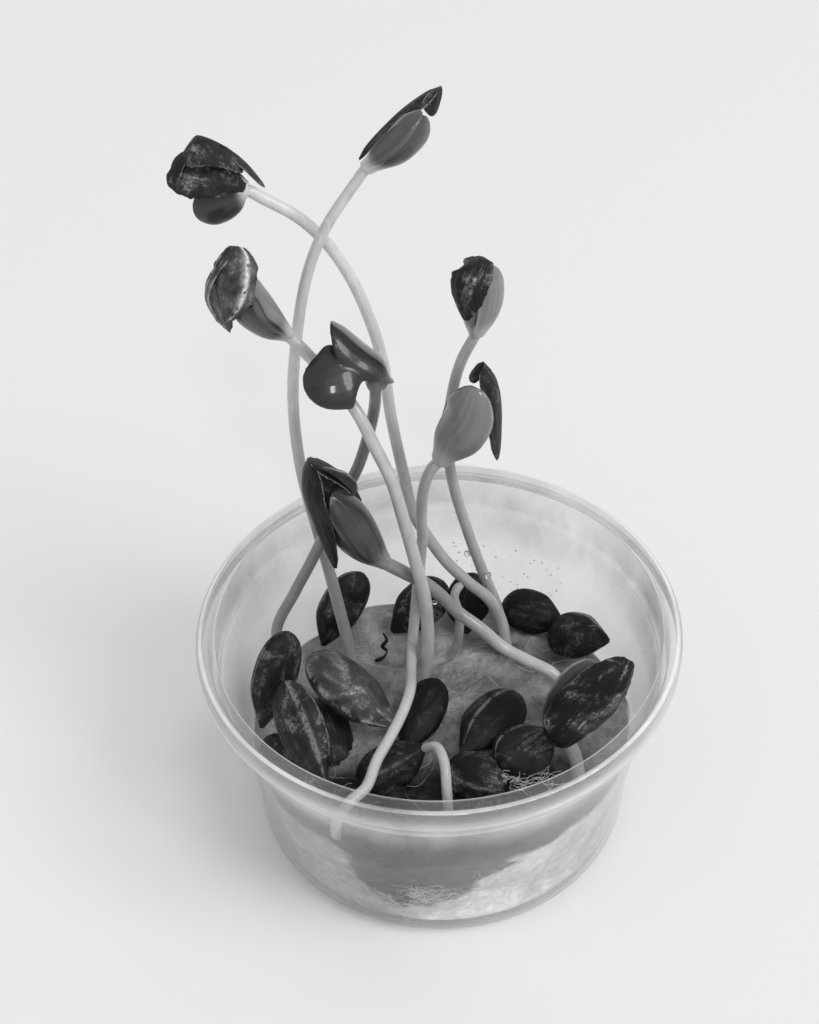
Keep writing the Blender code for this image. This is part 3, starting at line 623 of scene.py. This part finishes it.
def husk_material():
    """Near-black shell with scuffed pale patches, a grain of specks, and pale stripes and seams."""
    n = Nodes("seed_coat")
    ribs = n.noise(n.coords("UV", (1, 0.14, 1)), 1.1, 3, 0.6, 0.5)
    fine = n.noise(n.coords("UV", (1, 0.2, 1)), 4.5, 3, 0.65, 0.4)
    patches = n.noise(n.coords(), 230, 5, 0.66, 0.5)
    specks = n.noise(n.coords(), 2100, 3, 0.8)
    worn = n.product(n.between(patches, 0.50, 0.64), n.between(ribs, 0.40, 0.56))
    scratches = n.product(n.between(fine, 0.60, 0.68), n.between(patches, 0.44, 0.58))
    worn = n.larger(worn, n.product(scratches, 0.6))
    worn = n.product(worn, n.between(specks, 0.40, 0.60))
    worn = n.product(worn, n.attribute("streaked"))
    edge = n.product(n.attribute("seam"), n.between(specks, 0.36, 0.50))
    edge = n.product(edge, n.between(patches, 0.40, 0.50))
    pale = n.larger(n.product(worn, 0.36), n.product(edge, 0.42))
    dark = n.product(n.attribute("tone"), n.between(patches, 0.35, 0.65, 0.4, 1.8))
    n.link(n.sum(dark, pale), n.shader.inputs["Base Color"])
    n.settings(Roughness=0.5, Specular_IOR_Level=0.22)
    relief = n.sum(n.sum(ribs, n.product(fine, 0.5)), n.product(specks, 0.3))
    n.bump(relief, 0.8, 0.0003)
    return n.material


def cotton_material():
    """Soaked fibres: clumped tone, fine strands in two ways and a rough relief."""
    n = Nodes("wet_cotton")
    fine = n.noise(n.coords(), 900, 4, 0.65)
    broad = n.noise(n.coords(), 130, 3, 0.55, 0.4)
    strands = n.noise(n.coords("Object", (0.22, 1, 1)), 1100, 3, 0.6, 1.4)
    crossing = n.noise(n.coords("Object", (1, 0.22, 0.6)), 900, 3, 0.6, 1.8)
    threads = n.larger(strands, crossing)
    shade = n.product(n.attribute("tone"), n.between(broad, 0.3, 0.7, 0.66, 1.28))
    shade = n.product(shade, n.between(threads, 0.42, 0.72, 0.84, 1.2))
    n.link(shade, n.shader.inputs["Base Color"])
    n.settings(Roughness=0.42, Specular_IOR_Level=0.3)
    n.settings(Subsurface_Weight=0.2, Subsurface_Radius=(1, 1, 1), Subsurface_Scale=0.0015)
    n.bump(n.sum(threads, n.product(fine, 0.5)), 0.8, 0.0005)
    return n.material


def plastic_material():
    """Thin cloudy plastic, more solid where it is seen edge on."""
    n = Nodes("clear_plastic")
    cloud = n.noise(n.coords("Object", (1, 1, 0.5)), 60, 4, 0.6)
    hazy = n.product(n.attribute("haze"), n.between(cloud, 0.34, 0.66, 0.35, 1.65))
    alpha = n.sum(hazy, n.product(n.facing(2.6), 0.6), clamp=True)
    n.link(alpha, n.shader.inputs["Alpha"])
    n.link(n.attribute("tone"), n.shader.inputs["Base Color"])
    n.settings(Roughness=0.06, IOR=1.5, Specular_IOR_Level=0.9)
    return n.material


def plain_material(name, grey, roughness, **values):
    n = Nodes(name)
    n.settings(Base_Color=(grey, grey, grey, 1), Roughness=roughness, **values)
    return n.material


FLESH = flesh_material()
HUSK = husk_material()
COTTON = cotton_material()
PLASTIC = plastic_material()
FIBRE = plain_material("cotton_fibre", 0.75, 0.6)
DROP = plain_material("water", 0.9, 0.02, Transmission_Weight=1.0, IOR=1.33)


# Cup

def wall_radius(z):
    """The radius of the wall's inside at this height."""
    for (low, inner), (high, outer) in zip(WALL_LINE, WALL_LINE[1:]):
        if z <= high:
            break
    return inner + (outer - inner) * (z - low) / (high - low) - WALL


def arc(centre_r, centre_z, radius, start, end, count):
    angles = [radians(start + (end - start) * k / count) for k in range(count + 1)]
    return [(centre_r + radius * cos(a), centre_z + radius * sin(a)) for a in angles]


def cup_profile():
    """The cup's outline: out along the underside, up the outside, over the rim and down the inside."""
    axis = 0.01
    floor_arc = WALL_LINE[0][1] - CORNER_RADIUS
    wall = [(radius, height) for height, radius in WALL_LINE[1:]]
    recess = BAND_RADIUS + WALL + 0.3
    lip = RIM_RADIUS - WALL
    bead = RIM_HEIGHT - BEAD_DROP
    outside = RIM_RADIUS - RIM_ROUND
    step_inside = STEP_RADIUS - WALL
    profile = [(axis, 0), (floor_arc * 0.5, 0)]
    profile += arc(floor_arc, CORNER_RADIUS, CORNER_RADIUS, -90, 0, 8)
    profile += wall
    profile += [(STEP_RADIUS, STEP_HEIGHT + 0.15), (recess - 0.2, STEP_HEIGHT + 0.5)]
    profile += [(recess, STEP_HEIGHT + 0.8), (recess, RIM_HEIGHT - 1.9)]
    profile += [(recess + 0.3, RIM_HEIGHT - 1.5), (lip, RIM_HEIGHT - 1.6)]
    profile += [(lip, bead + 0.2), (RIM_RADIUS - WALL / 2, bead), (RIM_RADIUS - 0.05, bead + 0.25)]
    profile += arc(outside, RIM_HEIGHT - RIM_ROUND, RIM_ROUND, 0, 90, 8)
    profile += [(outside - 0.3, RIM_HEIGHT), (BAND_RADIUS + 0.35, RIM_HEIGHT)]
    profile += [(BAND_RADIUS + 0.08, RIM_HEIGHT - 0.12), (BAND_RADIUS, RIM_HEIGHT - 0.4)]
    profile += [(BAND_RADIUS + 0.05, RIM_HEIGHT - 0.75)]
    profile += [(BAND_RADIUS + 0.3, STEP_HEIGHT + 1.4), (BAND_RADIUS + 0.1, STEP_HEIGHT + 0.9)]
    profile += [(step_inside + 0.15, STEP_HEIGHT + 0.4), (step_inside - 0.05, STEP_HEIGHT)]
    profile += [(radius - WALL, height) for radius, height in reversed(wall[:-1])]
    profile += list(reversed(arc(floor_arc, CORNER_RADIUS, CORNER_RADIUS - WALL, -90, 0, 8)))
    profile += [(floor_arc * 0.5, WALL), (axis, WALL)]
    return profile


def cup_place(r, z):
    """Which place of the cup this point of its outline belongs to."""
    on_top = z > RIM_HEIGHT - 0.45
    bead = RIM_HEIGHT - BEAD_DROP
    # The first four places are thin pale lines of painted highlight along the cup's edges.
    if on_top and abs(r - RIM_RADIUS + 0.75) < 0.28:
        return "painted highlight on the rim"
    if on_top and abs(r - BAND_RADIUS) < 0.2:
        return "painted highlight on the band's edge"
    if z < bead + 0.3 and r > BAND_RADIUS + 0.9:
        return "painted highlight at the bead's foot"
    if z > bead - 0.2 and r > BAND_RADIUS + 0.2:
        return "bead"
    if abs(z - STEP_HEIGHT - 0.3) < 0.35:
        return "painted highlight on the step"
    if abs(z - STEP_HEIGHT) < 1.4:
        return "step"
    if z > STEP_HEIGHT:
        return "band"
    return "underside" if z < 0.5 else "wall"


def build_cup():
    profile = cup_profile()
    turns = [2 * pi * k / CUP_SEGMENTS for k in range(CUP_SEGMENTS)]
    verts, haze, tone = [], [], []
    for r, z in profile:
        solid, grey = CUP_LOOKS[cup_place(r, z)]
        verts += [(r * cos(a), r * sin(a), z) for a in turns]
        haze += [solid] * CUP_SEGMENTS
        tone += [grey] * CUP_SEGMENTS
    faces = ring_faces(0, len(profile), CUP_SEGMENTS)
    cup = make_object("cup_clear", verts, faces, PLASTIC, ["cup"],
                      attributes={"haze": haze, "tone": tone})
    outward(cup)
    cup.data.set_sharp_from_angle(angle=radians(40))


# Cotton wool

def cotton_height(x, y):
    bumps = sin(0.23 * x + 1.0) * cos(0.19 * y - 0.6) + 0.5 * sin(0.41 * y + 0.27 * x)
    return COTTON_MIDDLE - COTTON_SLOPE * y + COTTON_BUMP * bumps


def rough(x, y, z, scale, seed=0.0):
    """Noise about 0 that repeats for the same place."""
    return noise.fractal(Vector((x, y, z)) * scale + Vector((seed, 0, 0)), 0.7, 2.0, 4)


def cotton_rows():
    """Rings of points: from the pad's underside up its side, and from its edge in to its middle."""
    turns = [2 * pi * k / COTTON_SEGMENTS for k in range(COTTON_SEGMENTS)]
    around = [(cos(a), sin(a)) for a in turns]
    under, foot = 24, wall_radius(3.0) - 0.6
    side = []
    for z in (1.2, 1.6, 2.4):
        radius = under + (foot - under) * (z - 1.2) / 2.2
        side.append([(radius * x, radius * y, z) for x, y in around])
    for level in range(COTTON_SIDE_ROWS):
        row = []
        for x, y in around:
            height = cotton_height(PAD_RADIUS * x, PAD_RADIUS * y)
            z = 3.4 + (height - 3.8) * level / (COTTON_SIDE_ROWS - 1)
            dent = max(0.0, rough(30 * x, 30 * y, z, 0.35, 7))
            r = wall_radius(z) - 0.12 - 0.3 * dent
            row.append((r * x, r * y, z))
        side.append(row)
    top = []
    for k in range(COTTON_TOP_RINGS, 0, -1):
        row = []
        for x, y in around:
            edge = wall_radius(cotton_height(PAD_RADIUS * x, PAD_RADIUS * y)) - 0.4
            r = edge * k / (COTTON_TOP_RINGS + 0.5)
            bumps = 0.6 * rough(r * x, r * y, 0, 0.28) + 0.28 * rough(r * x, r * y, 0, 1.1, 3)
            row.append((r * x, r * y, cotton_height(r * x, r * y) + bumps))
        top.append(row)
    return side, top


def top_tone(x, y, z):
    """Soaked grey, and darker in the shade of the seeds at the front."""
    shaded = 1 - soft(y + 2 * rough(x, y, 0, 0.2, 8), -14, -7)
    return (0.25 + 0.14 * rough(x, y, z, 0.16, 5)) * (1 - 0.94 * shaded)


def side_tone(x, y, z):
    """Dark where seeds press on the front wall, wet and grey left of them, white below, grey behind."""
    u = PAD_RADIUS * atan2(x, -y)
    ragged = 2.0 * rough(x, y, z, 0.25, 9) + 1.0 * rough(x, y, z, 0.9, 2)
    low = eased(DARK_EDGE, min(12, max(-17, u))) + ragged
    mass = soft(u + ragged, -18, -14) * (1 - soft(u + ragged, 9, 13)) * soft(z, low - 0.4, low + 1.6)
    left = 1 - soft(u + 1.5 * ragged, -12, -3)
    clump = 1 + 0.25 * rough(x, y, z, 0.5, 4)
    fluff = 0.92 - 0.45 * left - 0.2 * soft(u, 12, 20)
    front = fluff * (1 - mass) + (0.05 + 0.05 * rough(x, y, z, 0.4, 6)) * mass
    behind = soft(y + ragged, -14, 6)
    return (front * (1 - behind) + 0.5 * behind) * clump


def build_cotton():
    """The pad: a lumpy top on rings that narrow to the middle, and a side that presses on the wall."""
    side, top = cotton_rows()
    tone = [side_tone(*vert) for row in side for vert in row]
    tone += [top_tone(*vert) for row in top for vert in row]
    verts = [vert for row in side + top for vert in row]
    faces = ring_faces(0, len(side + top), COTTON_SEGMENTS, capped=True)
    make_object("cotton", verts, faces, COTTON, ["cotton_wool"], attributes={"tone": tone})


def strand(rng, place, heading, length, curl, radius, surface):
    """A fine wandering tube on a surface that is given as a function from its two ways to a point."""
    u, v = place
    turn = rng.gauss(0, curl)
    line = []
    for _ in range(max(4, int(length / FIBRE_STEP))):
        line.append(surface(u, v))
        turn = 0.8 * turn + rng.gauss(0, curl)
        heading += turn
        u += FIBRE_STEP * cos(heading)
        v += FIBRE_STEP * sin(heading)
    return line, [radius * (1 - 0.6 * k / len(line)) for k in range(len(line))]


def on_wall(u, z):
    """A point between the pad and the front wall, u millimetres round from the middle."""
    z = min(max(z, 2.0), 17.5)
    r = wall_radius(z) - 0.09
    return Vector((r * sin(u / r), -r * cos(u / r), z))


def on_top(lift):
    """A surface this far above the pad's top."""
    def surface(x, y):
        r = sqrt(x * x + y * y)
        share = min(1.0, 28.0 / max(r, 1e-6))
        x, y = x * share, y * share
        return Vector((x, y, cotton_height(x, y) + 0.6 * rough(x, y, 0, 0.28) + lift))
    return surface


def build_fibres():
    """Loose cotton fibres: behind the front wall and on the pad's top."""
    rng = Random(11)
    loft = Loft()

    def add(place, heading, length, curl, radius, surface):
        line, radii = strand(rng, place, heading, length, curl, radius, surface)
        loft.add_tube(line, radii, FIBRE_SIDES)

    for _ in range(16):
        place = (rng.uniform(-6.4, -3.6), rng.uniform(9.5, 13.5))
        add(place, rng.uniform(0, 6.3), 8, 0.26, 0.036, on_wall)
    for _ in range(70):
        place = (rng.uniform(-6.5, 1.0), rng.gauss(9.0, 1.1))
        add(place, rng.gauss(0.1, 0.8), 6, 0.13, 0.032, on_wall)
    for _ in range(60):
        place = (rng.uniform(0, 16), rng.uniform(6, 15.5))
        add(place, rng.gauss(0.5, 0.9), 5, 0.14, 0.04, on_wall)
    for _ in range(46):
        place = (rng.uniform(-24, -6), rng.uniform(3, 10))
        add(place, rng.gauss(-0.5, 0.5), 6, 0.10, 0.035, on_wall)
    for _ in range(120):
        r, a = 27 * sqrt(rng.random()), rng.uniform(0, 2 * pi)
        heading, length, lift = rng.uniform(0, 6.3), rng.uniform(3, 9), rng.uniform(0.0, 0.4)
        add((r * cos(a), r * sin(a)), heading, length, 0.07, 0.028, on_top(lift))
    for x, y, lift, count in FUZZ:
        for _ in range(count):
            place = (x + rng.gauss(0, 1.2), y + rng.gauss(0, 1.0))
            heading, length = rng.uniform(0, 6.3), rng.uniform(2, 5)
            add(place, heading, length, 0.16, 0.05, on_top(lift + rng.gauss(0, 0.5)))
    make_object("cotton_fibres", loft.verts, loft.faces, FIBRE, [])


# Sprouts

def leaf_parts(blade, stem_top):
    """A leaf's middle line, how far along its stations are, and its width and thickness there."""
    _, _, neck, _, points = blade
    start = Vector(stem_top).lerp(Vector(points[0]), 0.05)
    fractions = crowded(LEAF_STATIONS)
    line = stations(smooth_line([start] + points, BLADE_STEP), fractions)
    outline = [(t, max(0.25, share ** neck) if t < 0.5 else share) for t, share in LEAF_OUTLINE]
    shares = [max(0.06, eased(outline, t)) for t in fractions]
    thicknesses = [LEAF_THICKNESS * min(1.0, 0.35 + 4 * (1 - t)) + 0.9 * (1 - t) ** 4 for t in fractions]
    return line, fractions, shares, thicknesses


def sprout_loft(name):
    """The stem and leaves of a sprout, and for each of their stations its place, its blade and how
    far along it is.
    """
    root_radius, top_radius, points = STEMS[name]
    loft = Loft()
    line = smooth_line(points, STEM_STEP)
    last = len(line) - 1
    radii = [root_radius + (top_radius - root_radius) * k / last for k in range(len(line))]
    radii[0] *= 0.5
    radii[-1] *= 0.75
    loft.add_tube(line, radii, STEM_SIDES)
    guides = [(point, None, k / last) for k, point in enumerate(line)]
    for number, (blade, greys) in enumerate(zip(LEAVES.get(name, []), LEAF_TONES.get(name, []))):
        half_width, bend, _, back, _ = blade
        leaf, fractions, shares, thicknesses = leaf_parts(blade, points[-1])
        widths = [half_width * share for share in shares]
        bends = [radians(bend) * min(1.0, share) for share in shares]
        loft.add(leaf, back, widths, thicknesses, bends, LEAF_SIDES, 0.75)
        for k, tangent in enumerate(tangents(leaf)):
            up = (Vector(back) - tangent * Vector(back).dot(tangent)).normalized()
            blade_here = (number, up, up.cross(tangent), widths[k], bends[k], greys)
            guides.append((leaf[k], blade_here, fractions[k]))
    return loft, guides


def fused(name, loft):
    """The points and faces of one smooth skin round all that is in the loft."""
    mesh = bpy.data.meshes.new(name)
    mesh.from_pydata([vert * MM for vert in loft.verts], [], loft.faces)
    raw = put(name + "_raw", mesh)
    outward(raw)
    remesh = raw.modifiers.new("remesh", "REMESH")
    remesh.mode = "VOXEL"
    remesh.voxel_size = REMESH_SIZE * MM
    smooth = raw.modifiers.new("smooth", "SMOOTH")
    smooth.factor = 0.5
    smooth.iterations = 5
    bpy.context.view_layer.update()
    done = bpy.data.meshes.new_from_object(raw.evaluated_get(bpy.context.evaluated_depsgraph_get()))
    bpy.data.objects.remove(raw)
    return [vert.co / MM for vert in done.vertices], [tuple(face.vertices) for face in done.polygons]


def nearest(points):
    """A tree that finds the nearest of these points."""
    tree = kdtree.KDTree(len(points))
    for k, point in enumerate(points):
        tree.insert(point, k)
    tree.balance()
    return tree


def colour_sprout(verts, guides, greys):
    """Each point's grey and its place on the stem or leaf, from the nearest station of their lofts.

    Where both leaves are about as near they meet, and there the grey is darker: painted shade between the
    leaves.
    """
    root_tone, top_tone = greys
    tree = nearest([point for point, _, _ in guides])
    pair = [nearest([point for point, blade, _ in guides if blade and blade[0] == number] or [(0, 0, 0)])
            for number in (0, 1)]
    tones, uv = [], []
    for place in verts:
        _, k, _ = tree.find(place)
        point, blade, t = guides[k]
        if blade is None:
            # The stem's grey from root to top carries painted shade on its lower, shaded parts.
            tones.append(root_tone + (top_tone - root_tone) * soft(t, 0.3, 0.65))
            uv.append((place.x + place.y, place.z))
            continue
        _, up, side, width, bend, (left, middle, right, inside) = blade
        x, y = (place - point).dot(side), (place - point).dot(up)
        radius = width / sin(max(bend, 0.02))
        fold = sqrt(max(radius * radius - x * x, 0.0)) - radius
        across = x / width
        outside = middle + ((left if across < 0 else right) - middle) * soft(abs(across), 0.14, 0.34)
        leaf_tone = inside + (outside - inside) * soft(y - fold, -0.25, 0.25)
        # Painted shade in the fold along the middle of each leaf's back.
        painted_fold_shade = 0.2 * soft(1 - abs(across) * 7, 0, 1)
        ribs = 0.06 * cos(11 * across) * soft(t, 0.1, 0.4)
        leaf_tone *= 1 - painted_fold_shade + ribs
        leaf_tone *= 1 + 0.4 * soft(abs(across), 0.88, 1.0)
        # Painted shade where the two leaves meet.
        gap = abs(pair[0].find(place)[2] - pair[1].find(place)[2])
        leaf_tone *= 1 - 0.8 * (1 - soft(gap, 0.06, 0.34)) * soft(t, 0.1, 0.3)
        leafy = soft(t, 0.06, 0.30)
        tones.append(top_tone * (1 - leafy) + leaf_tone * leafy)
        uv.append((x + 7 * k, 30 * t))
    return tones, uv


def build_sprout(name):
    """A stem and its leaves, as one grown piece."""
    loft, guides = sprout_loft(name)
    verts, faces = fused(name, loft)
    tones, uv = colour_sprout(verts, guides, STEM_TONES_AND_SHADE[name])
    make_object(name + "_look", verts, faces, FLESH, [name], uv, {"tone": tones})


# Seeds and coats

def seams(loft, name, start, strength):
    """How pale each point is for its seam, at the sides of the loft, and for the stripes along it."""
    pale = []
    for side, share in zip(loft.outer, loft.place):
        value = strength * soft(1 - abs(side), start, 1.0)
        for middle, half, power in STRIPES.get(name, ()):
            if side > 0:
                value = max(value, power * (1 - soft(abs(share - middle), 0.3 * half, half)))
        pale.append(value)
    return pale


def make_shell(name, loft, offset, tones, streaked, seam):
    """A seed or a coat in husk. The offset gives each one its own stretch of the noise."""
    uv = [(u + offset, v) for u, v in zip(loft.across, loft.along)]
    shell = make_object(name + "_look", loft.verts, loft.faces, HUSK, [name], uv,
                        {"tone": tones, "streaked": [streaked] * len(tones), "seam": seam})
    outward(shell)


def build_coat(name, number):
    """Half shells with a ragged rim and low ribs, paler inside and along the split edge."""
    loft = Loft()
    rng = Random(number)
    fractions = crowded(SHELL_STATIONS)
    for half_width, bend, back, points in COATS[name] + LININGS.get(name, []):
        line = stations(smooth_line(points, BLADE_STEP), fractions)
        length = sum((b - a).length for a, b in zip(line, line[1:]))
        shares = [max(0.05, eased(COAT_OUTLINE, t)) for t in fractions]
        if name in ROUND_COATS:
            shares = [max(share, 0.93 * sqrt(sin(pi * t))) for share, t in zip(shares, fractions)]
        widths = [half_width * share for share in shares]
        thicknesses = [COAT_THICKNESS * min(1.0, 0.4 + 6 * t, 0.4 + 6 * (1 - t)) for t in fractions]
        bends = [radians(bend)] * len(fractions)
        phase = rng.uniform(0, 9)

        def shift(j, i, x, y):
            across = cos(2 * pi * i / COAT_SIDES)
            edge = abs(across) ** 6
            t = fractions[j]
            s = length * t + phase
            waves = 0.20 * sin(0.7 * s) + 0.12 * sin(1.9 * s) + 0.08 * sin(4.1 * s)
            ragged = waves * min(1.0, length / 14)
            ridge = 0.09 * cos(13 * across + phase + 2 * sin(3 * t)) * shares[j]
            return copysign(edge * ragged, x), ridge * (1 - edge)

        loft.add(line, back, widths, thicknesses, bends, COAT_SIDES, 0.35, shift)
    tone, streaked = COAT_TONES[name]
    tones = [tone if side > -0.05 else 0.10 + tone for side in loft.outer]
    make_shell(name, loft, 17 * number, tones, streaked, seams(loft, name, 0.75, 0.8))


def build_seed(number):
    """A flattened teardrop with low ribs along it and a raised seam round its sides."""
    half_width, thickness, face, pointed, blunt = SEEDS[number]
    loft = Loft()
    fractions = crowded(SHELL_STATIONS)
    start, end = Vector(pointed), Vector(blunt)
    rng = Random(number + 40)
    sway = Vector((rng.uniform(-0.5, 0.5), rng.uniform(-0.5, 0.5), rng.uniform(-0.2, 0.2)))
    line = [start.lerp(end, t) + sway * sin(pi * t) for t in fractions]
    shares = [max(0.03, eased(SEED_OUTLINE, t)) * (0.72 + 0.28 * soft(t, 0, 0.42)) for t in fractions]
    widths = [half_width * share for share in shares]
    thicknesses = [0.94 * thickness * share for share in shares]
    phase = rng.uniform(0, 9)

    def shift(j, i, x, y):
        across, side = cos(2 * pi * i / SEED_SIDES), abs(sin(2 * pi * i / SEED_SIDES))
        t = fractions[j]
        ridge = 0.11 * cos(11 * across + phase + 1.2 * sin(4 * t + phase)) * shares[j] * side
        dent = -0.30 * shares[j] * cos(3 * t + phase) * side ** 3
        keel = -0.35 * shares[j] * abs(across) ** 2 * side
        return 0, copysign(ridge + dent + keel, y)

    loft.add(line, face, widths, thicknesses, [0] * len(fractions), SEED_SIDES, 1.1, shift)
    name = f"seed_{number + 1:02d}"
    tone, streaked = SEED_TONES[number]
    make_shell(name, loft, 13 * number, [tone] * len(loft.verts), streaked, seams(loft, name, 0.90, 0.5))


def build_dried_root():
    """A dried root tip, dark and curled, that stands on the pad behind the seeds."""
    line = smooth_line(DRIED_ROOT, 0.25)
    last = len(line) - 1
    radii = [0.12 + 0.22 * abs(sin(5 * k / last)) for k in range(last + 1)]
    loft = Loft()
    loft.add_tube(line, radii, 10)
    uv = list(zip(loft.across, loft.along))
    count = len(loft.verts)
    make_object("dried_root", loft.verts, loft.faces, HUSK, [], uv,
                {"tone": [0.012] * count, "streaked": [0.2] * count, "seam": [0.0] * count})


def build_drops():
    """Water on the stems, and a spray of small drops on the inside of the back wall."""
    rng = Random(5)
    places = [(Vector(place), Vector(down), size) for place, down, size in DROPS]
    for _ in range(SPRAY_DROPS):
        a = radians(rng.uniform(48, 84))
        z = rng.uniform(17.5, 26)
        r = wall_radius(z)
        inward = Vector((-cos(a), -sin(a), -0.3))
        places.append((Vector((r * cos(a), r * sin(a), z)), inward, rng.uniform(0.1, 0.26)))
    work = bmesh.new()
    for place, down, size in places:
        made = bmesh.ops.create_icosphere(work, subdivisions=3, radius=1.0)
        down = down.normalized()
        turn = down.to_track_quat("Z", "Y").to_matrix()
        for vert in made["verts"]:
            sag = 1 + 0.25 * vert.co.z
            shaped = Vector((vert.co.x / sag, vert.co.y / sag, 0.75 * vert.co.z)) * size
            vert.co = (place + turn @ shaped) * MM
    mesh = bpy.data.meshes.new("water")
    work.to_mesh(mesh)
    work.free()
    mesh.materials.append(DROP)
    mesh.shade_smooth()
    obj = put("water_drops", mesh)
    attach(obj, "root")


# Camera, floor and light

def place_camera():
    """The camera that took the photograph: in front of the cup, above it and tilted down."""
    data = bpy.data.cameras.new("camera")
    data.sensor_width = 36
    data.lens = 63.28
    data.clip_start = 0.01
    data.clip_end = 10
    camera = put("camera", data)
    right, up, back = (0.9992, -0.0267, -0.0289), (0.0394, 0.6777, 0.7343), (0, -0.7349, 0.6782)
    turn = Matrix((right, up, back)).transposed().to_4x4()
    camera.matrix_world = Matrix.Translation((-0.00377, -0.19244, 0.24082)) @ turn
    bpy.context.scene.camera = camera


def area_light(name, place, target, size, power):
    data = bpy.data.lights.new(name, "AREA")
    data.shape = "DISK"
    data.size = size
    data.energy = power
    light = put(name, data)
    light.location = place
    light.rotation_euler = (Vector(target) - Vector(place)).to_track_quat("-Z", "Y").to_euler()


def build_stage():
    """A pale floor, an even sky, and two soft lights from the front and above."""
    mesh = bpy.data.meshes.new("floor")
    mesh.from_pydata([(-3, -3, 0), (3, -3, 0), (3, 3, 0), (-3, 3, 0)], [], [(0, 1, 2, 3)])
    mesh.materials.append(plain_material("floor", 0.80, 0.9))
    floor = put("floor", mesh)
    floor.location.z = -0.0002
    floor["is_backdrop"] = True
    world = bpy.data.worlds.new("world")
    world.use_nodes = True
    set_inputs(world.node_tree.nodes["Background"], {"Color": (1, 1, 1, 1), "Strength": 0.60})
    bpy.context.scene.world = world
    area_light("key", (2.3, -1.3, 3.0), (0, 0, 0.05), 2.0, 80.0)
    area_light("fill", (0.2, -2.0, 2.4), (0, 0.02, 0.05), 0.4, 12.0)
    bpy.context.scene.view_settings.view_transform = "Standard"


def main():
    build_cup()
    build_cotton()
    build_fibres()
    for name in STEMS:
        build_sprout(name)
    for number, name in enumerate(COATS):
        build_coat(name, number)
    for number in range(len(SEEDS)):
        build_seed(number)
    build_dried_root()
    build_drops()
    build_stage()
    place_camera()


main()
boxes = {"cad": cad_box, "visual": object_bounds()}
{name: [list(corner) for corner in box] for name, box in boxes.items()}
